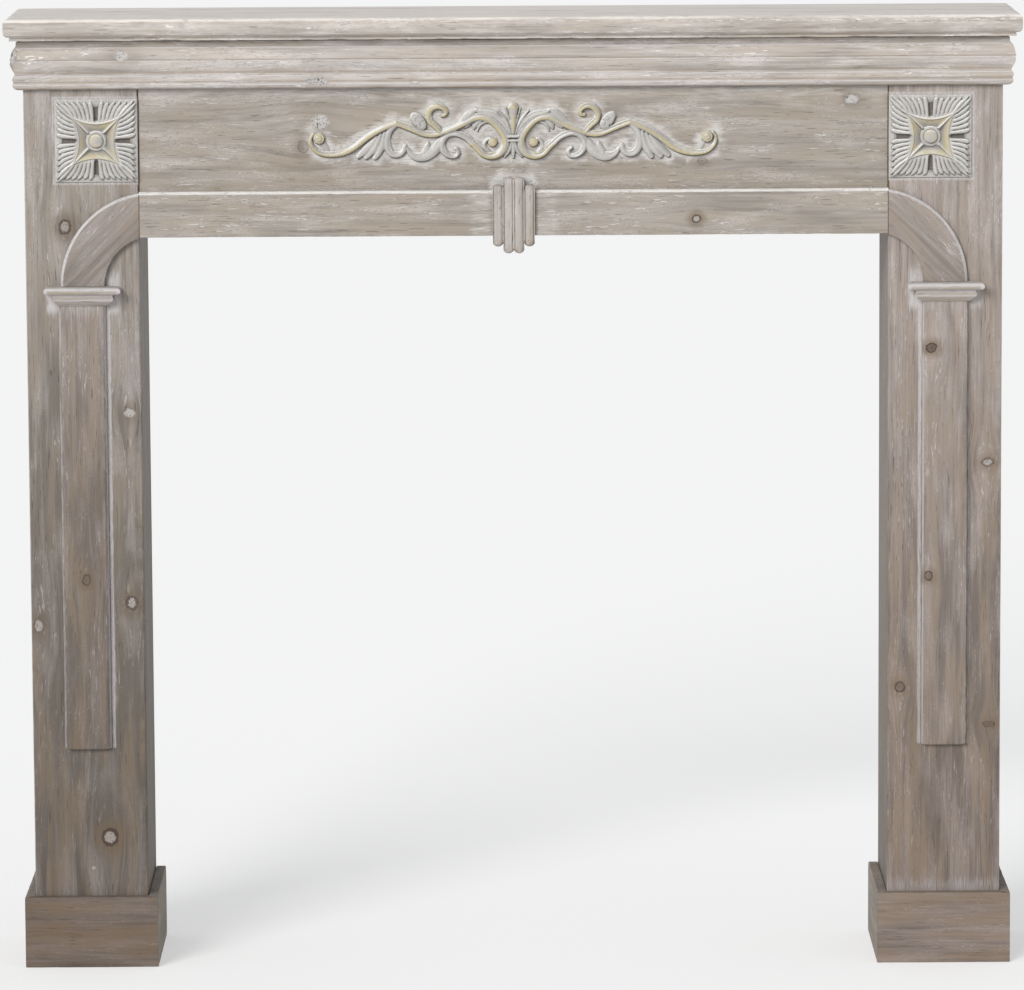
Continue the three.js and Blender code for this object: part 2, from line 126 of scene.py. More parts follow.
def aged(points, normals, arris, seed, chips=1.6, gouges=()):
    """Hand-worked surface: a point sinks along its normal by 0.2 mm times broad noise, on an arris by up to
    0.5 mm more, and by up to chips where a coarser noise passes a limit. A gouge is a centre, a radius and
    a depth, a bell of that depth with a ragged floor."""
    depth = 0.2 * noise(points, 45, seed)
    depth = depth + arris * 0.5 * noise(points, 9, seed + 1)
    broken = rise(0.7, 0.85, noise(points, 14, seed + 2)) * (0.3 + 0.7 * noise(points, 3.5, seed + 3))
    depth = depth + arris * chips * broken
    for centre, radius, deep in gouges:
        away = np.linalg.norm((points - np.array(centre)) / np.array(radius), axis=-1)
        depth = depth + deep * np.exp(-(away**2)) * (0.4 + 0.9 * noise(points, 4, seed + 4))
    return points - normals * depth[..., None]


# Surfaces
def spread(low, high, step, *fine):
    """Places from low to high about step apart, closer in each fine stretch (from, to, step)."""
    marks = np.linspace(low, high, max(2, round((high - low) / step) + 1))
    for start, stop, close in fine:
        marks = marks[(marks < start) | (marks > stop)]
        marks = np.union1d(marks, np.linspace(start, stop, round((stop - start) / close) + 1))
    return marks


def rounded(corners, cuts, step=9.0, facets=5):
    """Closed outline: each corner is a parabola from `cut` before it to `cut` after it, and each straight
    stretch is divided about every step."""
    corners = np.array(corners, float)
    cuts = np.broadcast_to(np.array(cuts, float), len(corners))
    outline = []
    for i, corner in enumerate(corners):
        before, after = corners[i - 1] - corner, corners[(i + 1) % len(corners)] - corner
        first = corner + before / np.linalg.norm(before) * cuts[i]
        last = corner + after / np.linalg.norm(after) * cuts[i]
        t = np.linspace(0, 1, facets + 1)[:, None]
        outline.append((1 - t) ** 2 * first + 2 * t * (1 - t) * corner + t**2 * last)
        following = corners[(i + 1) % len(corners)]
        stop = following - after / np.linalg.norm(after) * cuts[(i + 1) % len(corners)]
        count = int(np.linalg.norm(stop - last) / step)
        if count > 1:
            outline.append(last + (stop - last) * np.linspace(0, 1, count + 1)[1:-1, None])
    return np.concatenate(outline)


def quartered(starts, ends):
    """The points a quarter and three quarters of the way along each side of a line, which cuts its
    corners."""
    return np.stack([0.75 * starts + 0.25 * ends, 0.25 * starts + 0.75 * ends], 1).reshape(-1, 2)


def bend(section, closed=True):
    """How much of an arris each outline point is, 0 to 1: its turn over the outward side, 16 degrees
    being full."""
    before = section - np.roll(section, 1, 0)
    after = np.roll(section, -1, 0) - section
    turn = np.arctan2(before[:, 0] * after[:, 1] - before[:, 1] * after[:, 0], (before * after).sum(1))
    area = (section[:, 0] * np.roll(section[:, 1], -1) - np.roll(section[:, 0], -1) * section[:, 1]).sum()
    weight = np.clip(turn * np.sign(area) / math.radians(16), 0, 1)
    if not closed:
        weight[[0, -1]] = 0
    return weight


def outward(grid, closed=True):
    """Unit normals of a grid of points, on the side away from each ring's middle."""
    along = np.gradient(grid, axis=0)
    around = np.roll(grid, -1, 1) - np.roll(grid, 1, 1) if closed else np.gradient(grid, axis=1)
    normals = np.cross(along, around)
    normals /= np.linalg.norm(normals, axis=-1, keepdims=True) + 1e-12
    away = grid - grid.mean((0, 1), keepdims=True) if not closed else grid - grid.mean(1, keepdims=True)
    return normals if (normals * away).sum() > 0 else -normals


def grid_faces(rows, columns, closed):
    """Four-sided faces between neighbours of a grid whose columns may close on themselves."""
    index = np.arange(rows * columns).reshape(rows, columns)
    across = np.roll(index, -1, 1) if closed else index[:, 1:]
    here = index if closed else index[:, :-1]
    return np.stack([here[:-1], across[:-1], across[1:], here[1:]], -1).reshape(-1, 4)


def shell(grid, closed=True):
    """Points and faces of a closed piece: a grid, and flat faces over its open ends."""
    rows, columns = grid.shape[:2]
    index = np.arange(rows * columns).reshape(rows, columns)
    faces = grid_faces(rows, columns, closed).tolist()
    if closed:
        faces += [index[0].tolist(), index[-1].tolist()]
    else:
        faces += [index[:, 0].tolist(), index[:, -1].tolist()]
        faces += [index[0].tolist() + index[-1][::-1].tolist()]
    return grid.reshape(-1, 3), faces


def carried(section, start, end, stations, place):
    """Point (t, i) is outline point i, a share t of the way from start_i to end_i, put in space by
    place."""
    along = start + (end - start) * stations[:, None]
    return np.stack(place(section[:, 0] + 0 * along, section[:, 1] + 0 * along, along), -1)


def worn_run(section, start, end, step, place, seed, **wear):
    """A moulding or board carried in a straight line or an arc, with worn arrises."""
    start, end = np.broadcast_to(start, len(section)), np.broadcast_to(end, len(section))
    stations = np.linspace(0, 1, round(abs(end - start).max() / step) + 1)
    grid = carried(section, start, end, stations, place)
    return shell(aged(grid, outward(grid), bend(section)[None], seed, **wear))


def rounded_block(box, along, seed, radius=1.3, steps=(11, 11, 4), fine=((), (), ()), **wear):
    """Board x0, x1, y0, y1, z0, z1 with rounded edges. Points on the bare block move to where they are one
    radius from the block drawn in by that radius. The rings run round the axis `along`."""
    low, high = np.array(box[0::2], float), np.array(box[1::2], float)
    first, second = [axis for axis in range(3) if axis != along]
    near = np.array([0, 0.35, 0.7, 1.0]) * radius

    def marks(axis):
        inner = spread(low[axis] + radius, high[axis] - radius, steps[axis], *fine[axis])
        return np.unique(np.concatenate([low[axis] + near[:-1], inner, high[axis] - near[:-1]]))

    a, b = marks(first), marks(second)
    loop = np.concatenate([
        np.stack([a[:-1], np.full(len(a) - 1, low[second])], 1),
        np.stack([np.full(len(b) - 1, high[first]), b[:-1]], 1),
        np.stack([a[:0:-1], np.full(len(a) - 1, high[second])], 1),
        np.stack([np.full(len(b) - 1, low[first]), b[:0:-1]], 1),
    ])
    run = marks(along)
    drawn = np.concatenate([near[:0:-1], np.zeros(len(run)), near[1:]])
    run = np.concatenate([np.full(3, low[along]), run, np.full(3, high[along])])
    bare = np.zeros((len(run), len(loop), 3))
    for axis, column in ((first, 0), (second, 1)):
        inset = drawn[:, None]
        bare[..., axis] = np.clip(loop[None, :, column], low[axis] + inset, high[axis] - inset)
    bare[..., along] = run[:, None]
    core = np.clip(bare, low + radius, high - radius)
    reach = bare - core
    length = np.linalg.norm(reach, axis=-1, keepdims=True) + 1e-12
    normals = reach / length
    parts = np.sort(np.abs(normals), axis=-1)
    arris = np.clip(parts[..., 1] * 2, 0, 1)
    return shell(aged(core + normals * radius, normals, arris, seed, **wear))


def wrapped(profile, x0, x1, y_front, y_back, step, seed, **wear):
    """Moulding round the two ends and the front of a block, mitred at the corners. The profile gives,
    from the underside up, inset at the ends, inset at the front and height. Each side runs straight from
    corner to corner, and flat faces close the top, the underside and the back."""
    ends, front, height = np.array(profile, float).T
    corners = np.stack([
        np.stack([x0 + ends, 0 * ends + y_back, height], -1),
        np.stack([x0 + ends, y_front + front, height], -1),
        np.stack([x1 - ends, y_front + front, height], -1),
        np.stack([x1 - ends, 0 * ends + y_back, height], -1),
    ])
    grid = []
    for side in range(3):
        begin, finish = corners[side], corners[side + 1]
        count = max(2, round(np.linalg.norm(finish[0] - begin[0]) / step))
        t = np.linspace(0, 1, count + 1)[: None if side == 2 else -1, None, None]
        grid.append(begin + (finish - begin) * t)
    grid = np.concatenate(grid)
    arris = bend(np.stack([-front, height], 1), closed=False)
    normals = outward(grid, closed=False)
    normals[:, [0, -1]] = 0
    return shell(aged(grid, normals, arris[None], seed, **wear), closed=False)


def mirrored(surface):
    """The same surface on the other side of the middle."""
    points, faces = surface
    return points * [-1, 1, 1], [face[::-1] for face in faces]


def joined(*surfaces):
    """Several surfaces as one."""
    points, faces, count = [], [], 0
    for these, those in surfaces:
        points.append(these)
        faces += [[index + count for index in face] for face in those]
        count += len(these)
    return np.concatenate(points), faces


def piece(name, surface, nodes, slot, finish, smooth=35, **attributes):
    """Makes a surface a piece of the part: doubles merged, normals outwards, edges sharper than the angle
    kept. Each attribute is a function of the final points."""
    points, faces = surface
    mesh = bpy.data.meshes.new(name)
    mesh.from_pydata((points * MM).tolist(), [], faces)
    work = bmesh.new()
    work.from_mesh(mesh)
    bmesh.ops.remove_doubles(work, verts=work.verts, dist=2e-6)
    bmesh.ops.recalc_face_normals(work, faces=work.faces)
    work.to_mesh(mesh)
    work.free()
    mesh.shade_smooth()
    mesh.set_sharp_from_angle(angle=math.radians(smooth))
    place = np.zeros(len(mesh.vertices) * 3, np.float32)
    mesh.vertices.foreach_get("co", place)
    for key, values in attributes.items():
        layer = mesh.attributes.new(key, "FLOAT", "POINT")
        layer.data.foreach_set("value", values(place.reshape(-1, 3) / MM).astype(np.float32))
    obj = bpy.data.objects.new(name, mesh)
    bpy.context.scene.collection.objects.link(obj)
    mesh.materials.append(finish)
    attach(obj, "root")
    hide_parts(*nodes)
    return obj


# Shader maths
class Value:
    """A number or colour that varies over a surface, so that sums of it add Math nodes."""

    def __init__(self, finish, socket):
        self.finish = finish
        self.socket = socket

    def maths(self, operation, *others):
        return self.finish.node("ShaderNodeMath", {"operation": operation}, dict(enumerate((self, *others))))

    def __add__(self, other):
        return self.maths("ADD", other)

    def __sub__(self, other):
        return self.maths("SUBTRACT", other)

    def __rsub__(self, other):
        return self.finish.node("ShaderNodeMath", {"operation": "SUBTRACT"}, {0: other, 1: self})

    def __mul__(self, other):
        return self.maths("MULTIPLY", other)

    def __truediv__(self, other):
        return self.maths("DIVIDE", other)

    def __pow__(self, other):
        return self.maths("POWER", other)

    def __abs__(self):
        return self.maths("ABSOLUTE")

    __radd__ = __add__
    __rmul__ = __mul__

    def step(self, low, high):
        """0 at low, 1 at high, eased between. Low may be above high."""
        sockets = {0: self, 1: low, 2: high, 3: 0.0, 4: 1.0}
        return self.finish.node("ShaderNodeMapRange", {"interpolation_type": "SMOOTHSTEP"}, sockets)

    def most(self, other):
        return self.maths("MAXIMUM", other)


class Finish:
    """A material being made, with the object's own coordinates in millimetres as x, y and z."""

    def __init__(self, name):
        self.material = bpy.data.materials.new(name)
        self.material.use_nodes = True
        self.tree = self.material.node_tree
        self.tree.nodes.clear()
        self.place = self.node("ShaderNodeTexCoord", {}, {}, "Object")
        split = self.node("ShaderNodeSeparateXYZ", {}, {0: self.place})
        source = split.socket.node
        self.x, self.y, self.z = (Value(self, source.outputs[i]) / MM for i in range(3))

    def node(self, kind, settings, sockets, output=0):
        """Adds a node: its settings first, then the values or links of its sockets."""
        made = self.tree.nodes.new(kind)
        for key, value in settings.items():
            setattr(made, key, value)
        for key, value in sockets.items():
            if isinstance(value, Value):
                self.tree.links.new(value.socket, made.inputs[key])
            else:
                made.inputs[key].default_value = value
        return Value(self, made.outputs[output]) if len(made.outputs) else None

    def vector(self, x, y, z):
        return self.node("ShaderNodeCombineXYZ", {}, {0: x, 1: y, 2: z})

    def grain(self, a, b, c, detail=2.0, roughness=0.5):
        """Noise, about 0.3 to 0.7, over three numbers."""
        sockets = {"Vector": self.vector(a, b, c), "Scale": 1.0, "Detail": detail, "Roughness": roughness}
        return self.node("ShaderNodeTexNoise", {}, sockets)

    def blend(self, share, first, second):
        """Colour that goes from first to second with share."""
        settings = {"data_type": "RGBA", "clamp_factor": True}
        return self.node("ShaderNodeMix", settings, {0: share, 6: first, 7: second}, 2)

    def attribute(self, name):
        return self.node("ShaderNodeAttribute", {"attribute_name": name}, {}, "Fac")

    def done(self, colour, roughness, height, depth=0.7, gloss=0.3):
        """Closes the material: colour, roughness, and a height from 0 to 1 that stands for depth in
        millimetres."""
        bump = self.node("ShaderNodeBump", {}, {"Strength": 1.0, "Distance": depth * MM, "Height": height})
        sockets = {"Base Color": colour, "Roughness": roughness, "Normal": bump, "Specular IOR Level": gloss}
        shader = self.node("ShaderNodeBsdfPrincipled", {}, sockets)
        self.node("ShaderNodeOutputMaterial", {}, {"Surface": shader})
        return self.material


EXPOSED = 1.4  # brightness of a white front face in this light


def tone(red, green, blue):
    """Surface colour that shows as these display values, 0 to 255, on a front face."""
    linear = [((v / 255 + 0.055) / 1.055) ** 2.4 / EXPOSED for v in (red, green, blue)]
    return (*[min(v, 0.95) for v in linear], 1.0)


def shifted(colour, factor, warm=0):
    """A display colour made lighter or darker by factor, and warmer by so many steps."""
    return (colour[0] * factor + warm, colour[1] * factor + warm * 0.2, colour[2] * factor - warm)


def knot_marks(m, knots, swap):
    """Rims, hearts and clouds of knots, and how far they push the fibres aside. A knot is its place
    across and up (along the wood and up, where swap is set), its radii, and how dark its rim and how
    white its heart are."""
    rim, heart, cloud = 0.0, 0.0, 0.0
    wobble = m.grain(m.x / 5.0, m.y / 5.0, m.z / 5.0, 3.0, 0.6) * 0.9 - 0.45
    push = None
    for across_at, up_at, wide, tall, dark, white in knots:
        off_x, off_z = m.x - across_at, m.z - up_at
        away = ((off_x / wide) ** 2 + (off_z / tall) ** 2) ** 0.5 + wobble
        rim = (away.step(0.6, 0.82) * away.step(1.2, 0.95) * dark).most(rim)
        rim = (away.step(1.1, 0.3) * (dark * max(0.0, 1 - 3 * white) * 0.75)).most(rim)
        heart = (away.step(1.15, 0.6) * white).most(heart)
        cloud = (away.step(3.2, 0.8) * (0.1 + 0.7 * dark)).most(cloud)
        spread_x, spread_z = (wide * 6.5, tall * 3.0) if swap else (wide * 3.0, tall * 6.5)
        bell_shape = (0.0 - (off_x / spread_x) ** 2 - (off_z / spread_z) ** 2).maths("EXPONENT")
        shove = (off_z if swap else off_x) * bell_shape * 0.8
        push = shove if push is None else push + shove
    return rim, heart, cloud, push


def limed(name, run, foot, head, knots=(), lime=None, brown=None, seed=0.0, lively=1.0, pale=0.5, waist=0.0,
          wash=(222, 218, 217)):
    """Limed fir. The colour goes from foot at the floor to head at the shelf, and is browner by waist
    half way; the darkening and the thinner wash towards the floor are partly painted shade for the
    light falling off low down. Fibres, growth rings and brown streaks follow `run` and bend round
    knots. Clouds, strokes and flecks of lilac white wash lie over them, as much as pale says. Lime and
    brown are functions of the material that give white build-up in the colour wash, and bare brown
    wood; on some pieces lime also paints highlights and light, and brown paints shade."""
    m = Finish(name)
    if run in ("rise", "fall"):
        side = 1.0 if run == "rise" else -1.0
        along, across, depth = (m.x * side + m.z) * 0.707, (m.x * side - m.z) * 0.707, m.y
    else:
        along, across, depth = {"z": (m.z, m.x, m.y), "x": (m.x, m.z, m.y), "y": (m.y, m.z, m.x)}[run]
    bent = across + seed * 41.0
    rim = heart = cloud = None
    if knots:
        rim, heart, cloud, push = knot_marks(m, knots, run == "x")
        bent = bent - push
    here = seed * 3.7
    field = m.grain(bent / 15.0, depth / 15.0 + here, along / 460.0, 2.0)
    rings = (field * 62.0).maths("SINE").step(0.35, 1.0)
    fibre = m.grain(bent / 1.6, depth / 1.6, along / 50.0 + here, 3.0, 0.6) - 0.5
    streak = m.grain(bent / 5.5, depth / 5.5, along / 150.0 + here, 3.0, 0.55) - 0.5
    blotch = m.grain(bent / 26.0, depth / 26.0, along / 150.0 + here, 3.0, 0.5) - 0.5
    hue = m.grain(bent / 16.0, depth / 16.0, along / 120.0 - here, 2.0, 0.5)
    brush = m.grain(bent / 1.8, depth / 1.8, along / 18.0 + here, 3.0, 0.6)
    group = m.grain(bent / 17.0, depth / 17.0, along / 75.0 + here, 3.0, 0.5)
    fleck = m.grain(bent / 1.3, depth / 1.3, along / 4.2, 1.0)
    crack = m.grain(bent / 1.0, depth / 1.0, along / 24.0 - here, 1.0)
    # Darker and less white towards the floor: partly painted shade for the light falling off low down,
    # partly the wood's own tone.
    level = (m.z - 60.0) / 1000.0
    kept = (level * 0.9 + 0.45) * pale
    shade = 0.52 + (fibre * 0.75 + streak * 1.5 + blotch * 1.3) * lively - rings * 0.1
    if waist:
        shade = shade - m.z.step(80, 200) * m.z.step(800, 430) * waist
    dark = m.blend(level, tone(*shifted(foot, 0.8, 2)), tone(*shifted(head, 0.83, 2)))
    light = m.blend(level, tone(*shifted(foot, 1.2, -1)), tone(*shifted(head, 1.11, -1)))
    colour = m.blend(shade, dark, light)
    warm = m.blend(level, tone(*shifted(foot, 0.97, 11)), tone(*shifted(head, 0.96, 6)))
    colour = m.blend((hue + streak * 0.3).step(0.42, 0.64) * 0.6, colour, warm)
    white = m.blend(level, tone(*shifted(foot, 1.38, -3)), tone(*shifted(head, 1.25, -4)))
    clouds = (group + fibre * 0.3).step(0.47, 0.76) * kept * 0.8
    strokes = (brush.step(0.57, 0.63) * (group + blotch).step(0.43, 0.58)) * kept * 1.6
    flecks = fleck.step(0.66, 0.71) * group.step(0.42, 0.56) * pale * 1.6
    colour = m.blend(clouds.most(strokes).most(flecks), colour, white)
    lines = crack.step(0.69, 0.76) * (1.0 - group).step(0.44, 0.56) * 0.5 * lively
    colour = m.blend(lines, colour, tone(*shifted(foot, 0.75, 6)))
    height = fibre * 0.8 + (1.0 - rings) * 0.08 + strokes * 0.5 + flecks * 0.7 - lines * 0.9 + 0.5
    # brown also carries painted shade on the cornice and under the shelf.
    if brown is not None:
        colour = m.blend(brown(m) * (0.75 + fibre * 2.0), colour, tone(*shifted(foot, 0.95, 16)))
    # lime also carries painted highlights on the cornice, arch and rail, and painted light on the shelf top
    # and on the frieze under the cornice.
    if lime is not None:
        build = (lime(m) * 1.3 + (brush - 0.5) * 1.4 + blotch * 0.8 - 0.22).step(0.0, 1.15)
        colour = m.blend(build, colour, m.blend(level, tone(180, 174, 175), tone(*wash)))
        height = height + build * 0.5
    if knots:
        crumbs = m.grain(m.x / 2.2, m.y / 2.2, m.z / 2.2, 2.0, 0.7)
        colour = m.blend(cloud, colour, tone(*shifted(foot, 0.88, 12)))
        filler = m.blend(level, tone(176, 166, 160), tone(214, 210, 207))
        colour = m.blend(heart * crumbs.step(0.26, 0.46), colour, filler)
        colour = m.blend(heart * crumbs.step(0.43, 0.35) * 0.85, colour, tone(88, 74, 66))
        colour = m.blend(rim, colour, tone(72, 56, 48))
        height = height - rim * 0.8 + heart * (crumbs - 0.5) * 3.0
    return m.done(colour, 0.68 + fibre * 0.3, height)


def carved_wash_and_painted_light():
    """White wash over carving: cream gold on the crests, lilac grey on the flanks, a painted highlight in
    near white on faces turned up and to the upper left, and painted shade in dark brown in the hollows
    and on faces turned down.
    """
    m = Finish("carved_wash_and_painted_light")
    crest, hollow, gilt, painted_highlight = (m.attribute(name) for name in ("crest", "hollow", "gilt", "painted_highlight"))
    cloud = m.grain(m.x / 20.0, m.y / 20.0, m.z / 20.0, 3.0)
    fine = m.grain(m.x / 1.4, m.y / 1.4, m.z / 1.4, 3.0, 0.6)
    pits = m.grain(m.x / 0.8, m.y / 0.8, m.z / 0.8, 1.0)
    body = m.blend((cloud - 0.3) * 1.6 + (fine - 0.5), tone(188, 185, 182), tone(224, 221, 216))
    # Painted highlight: faces turned up and to the upper left are painted near white.
    body = m.blend((painted_highlight + (fine - 0.5) * 0.8).step(0.2, 1.0), body, tone(250, 249, 246))
    gold = m.blend((fine - 0.3) * 2.0, tone(190, 173, 126), tone(232, 220, 176))
    rubbed = (crest + (cloud - 0.5) * 1.6).step(0.25, 0.7) * gilt
    colour = m.blend(rubbed * (0.75 + (fine - 0.5) * 1.5), body, gold)
    # Painted shade: the hollows and the faces turned down are painted dark brown.
    colour = m.blend((hollow + (fine - 0.5) * 0.7).step(0.2, 0.95) * 0.85, colour, tone(104, 94, 84))
    height = fine * 0.7 + pits.step(0.6, 0.75) * -0.4
    return m.done(colour, 0.6 + fine * 0.2, height, 0.35, 0.35)


# Carved scroll: strokes and domes as in the solid
STROKES = [
    ((232.3, -1.9), 314, [(15.3, -76), (16.4, -48), (44.3, -51), (50.2, 24)], (1.6, 3.6, 3.4), 0.85),
    ((135.6, 10.5), 198, [(30, 6), (25.1, -47)], (3.4, 3.8, 3.6), 0.85),
    ((83.2, -0.6), 162, [(36.8, -12), (30, 73), (18.6, 19), (50.6, 172), (12.1, -21)], (3.6, 4.6, 3.6), 1),
    ((47.7, -12.7), 50, [(23, -42), (44.9, -191), (13.5, -159)], (3.6, 3.6, 2), 0.9),
    ((135.6, 8.8), 332, [(35.5, -93), (25, -149)], (3, 4, 2.6), 0.75),
    ((122.8, -19.2), 251, [(23.7, -91), (35.4, -56)], (1.6, 5.6, 2.6), 0.75),
    ((85.5, 1.7), 53, [(12, -16), (37.4, 197), (9.3, 138)], (3.2, 3.6, 2.2), 0.9),
    ((158.9, -5.2), 304, [(31.5, 18)], (1.8, 4.0, 2.7), 0.64),
    ((154.2, -2.3), 289, [(32, 27)], (1.8, 4.1, 2.8), 0.66),
    ((149.6, 0), 274, [(32, 33)], (1.8, 4.1, 2.8), 0.68),
    ((44.8, 14.4), 334, [(16.3, -29)], (3, 3.2, 0.8), 0.6),
    ((36.7, 14.4), 340, [(15.7, -63)], (3, 3.2, 0.8), 0.6),
    ((20.4, 7.6), 51, [(28.5, -138)], (2.4, 2.2, 1), 0.55),
    ((60, 9.9), 128, [(24.5, 18)], (4, 4.6, 1), 0.7),
    ((42.6, 25.4), 209, [(10.6, -21), (39.5, 68)], (2, 3.8, 1.8), 0.65),
    ((18, 24.5), 223, [(31.8, 35)], (1, 2.0, 1.4), 0.6),
    ((8.7, 27.4), 249, [(31.2, 16)], (0.8, 1.3, 1.2), 0.42),
    ((46, -11.1), 203, [(14.9, 14), (10, 30)], (2.6, 2.6, 1.4), 0.5),
    ((1.7, -9), 271, [(22.6, 43)], (1.6, 2.2, 1.2), 0.7),
    ((103.5, -23.5), 122, [(12.5, -20)], (3.2, 3.2, 1), 0.55),
    ((93, -19.5), 132, [(12, -25)], (3.2, 3.2, 1), 0.55),
    ((223.5, -9), 232, [(16, 20)], (2.4, 2.6, 2.4), 0.22),
    ((27.6, -8), 345, [(17, -118)], (1.8, 2.2, 1.4), 0.6),
    ((-5.6, -5.4), 0, [(11.2, 0)], (1.9, 2, 1.9), 0.95),
    ((-5.2, -10.2), 0, [(10.4, 0)], (1.9, 2, 1.9), 0.9),
    ((0, -3), 90, [(31, 0)], (1.2, 3.4, 5.4), 0.95),
    ((0, -9), 270, [(21, 0)], (1.8, 2.4, 1.4), 0.7),
]
DOMES = [  # centre, radii, lean in degrees, share of the relief, kind
    ((225.7, -7), (6.6, 6.6), 0, 0.95, "ringed"),
    ((23.8, -12.7), (5.4, 5.4), 0, 0.85, "plain"),
    ((110, 12.5), (12, 7), 50, 0.8, "pitted"),
    ((0, 28), (4.6, 4.2), 0, 0.85, "plain"),
]
GILDED = (0, 1, 2, 6, 25)  # strokes whose crests keep cream gold
SCROLL_REACH = (245.0, 37.0)  # half length and half height of the plan
SCROLL_STEP = 0.6
STROKE_SCALE = 1.14
UPPER = np.array([-0.45, 0.89])  # towards a stroke's upper left side
LEAN = np.array([0.12, -0.34])  # where the crest lies in a stroke, in half widths
BURIED = 0.8  # the carving's edge goes this far behind its back plane, into the board


def stroke_line(start, heading, arcs, step=0.7):
    """Points, headings and shares of the length along a chain of arcs (length, turn in degrees)."""
    lengths = np.array([length for length, _ in arcs])
    turns = np.radians([turn for _, turn in arcs])
    ends = np.concatenate([[0], np.cumsum(lengths)])
    s = np.linspace(0, ends[-1], round(ends[-1] / step) + 1)
    heads = math.radians(heading) + np.interp(s, ends, np.concatenate([[0], np.cumsum(turns)]))
    middle = (heads[1:] + heads[:-1]) / 2
    moves = np.diff(s)[:, None] * np.stack([np.cos(middle), np.sin(middle)], 1)
    return np.concatenate([[start], start + np.cumsum(moves, 0)]), heads, s / ends[-1]


def stroke_width(share, widths):
    first, most, last = widths
    swell = np.sin(share * np.pi)
    return np.where(share < 0.5, first + (most - first) * swell, last + (most - last) * swell)


def scroll_plan():
    """Height of the carving over a plan grid. With u the distance from a stroke's line over its half
    width, and v the distance from a line moved down and right by LEAN, the height is h (0.22 + 0.2 sqrt(1
    - u^2) + 0.58 (1 - v / 1.05)) inside, so that a sharp crest stands near the lower edge, with a fine
    second ridge on the upper flank of a wide stroke; outside it falls steeply. Strokes and domes meet
    where one is higher than the other."""
    reach_x, reach_z = SCROLL_REACH
    x = np.arange(-SCROLL_STEP * 12, reach_x, SCROLL_STEP)
    z = np.arange(-reach_z, reach_z, SCROLL_STEP)
    plan = np.stack(np.meshgrid(x, z), -1)
    height = np.full(plan.shape[:2], -3.0)
    gilt = np.zeros(plan.shape[:2])
    for number, (start, heading, arcs, widths, share) in enumerate(STROKES):
        line, heads, gone = stroke_line(np.array(start, float), heading, arcs)
        width = stroke_width(gone, widths) * STROKE_SCALE
        reach = width.max() + 2.5
        columns = (x > line[:, 0].min() - reach) & (x < line[:, 0].max() + reach)
        rows = (z > line[:, 1].min() - reach) & (z < line[:, 1].max() + reach)
        window = np.ix_(rows, columns)
        gap = plan[window][:, :, None] - line
        away = np.linalg.norm(gap, axis=-1) / width
        nearest = away.argmin(-1)
        u = np.take_along_axis(away, nearest[..., None], -1)[..., 0]
        w = width[nearest]
        h = SCROLL_RISE * share * np.minimum(1, 0.45 + 0.55 * w / widths[1])
        offset = np.take_along_axis(gap, nearest[..., None, None], 2)[..., 0, :] / w[..., None]
        ridge = np.linalg.norm(offset - LEAN, axis=-1)
        second = np.exp(-(((offset * UPPER).sum(-1) - 0.62) / 0.13) ** 2) * (w > 2.8) * (1 - u)
        inside = 0.22 + 0.2 * np.sqrt(np.clip(1 - u**2, 0, 1)) + 0.58 * np.clip(1 - ridge / 1.05, 0, 1)
        inside = inside + 0.75 * second
        outside = 0.22 - (u - 1) * w * 0.6
        new = h * np.where(u < 1, inside, outside)
        gilt[window] = np.where(new > height[window], number in GILDED, gilt[window])
        height[window] = np.maximum(height[window], new)
    for (cx, cz), (rx, rz), lean, share, kind in DOMES:
        c, s = math.cos(math.radians(lean)), math.sin(math.radians(lean))
        dx, dz = plan[..., 0] - cx, plan[..., 1] - cz
        u = np.hypot((dx * c + dz * s) / rx, (dz * c - dx * s) / rz)
        inside = 0.35 + 0.65 * np.sqrt(np.clip(1 - u**2, 0, 1))
        if kind == "ringed":
            inside = inside - 0.16 * np.exp(-(((u - 0.62) / 0.13) ** 2)) - 0.12 * np.exp(-((u / 0.16) ** 2))
        if kind == "pitted":
            lift = np.stack([dx, dz, 0 * dx], -1)
            inside = inside - 0.2 * rise(0.5, 0.8, noise(lift, 2.6, 5)) * (u < 0.95)
        outside = 0.35 - (u - 1) * min(rx, rz) * 0.75
        new = SCROLL_RISE * share * np.where(u < 1, inside, outside)
        gilt = np.where(new > height, kind != "pitted", gilt)
        height = np.maximum(height, new)
    return x, z, height, gilt


def smoothed(field, cells):
    """Mean of a field over a square window, by running sums."""
    for axis in (0, 1):
        edges = [(cells + 1, cells) if a == axis else (0, 0) for a in (0, 1)]
        total = np.cumsum(np.pad(field, edges, mode="edge"), axis=axis)
        size = 2 * cells + 1
        count = total.shape[axis]
        field = (np.take(total, range(size, count), axis) - np.take(total, range(count - size), axis)) / size
    return field


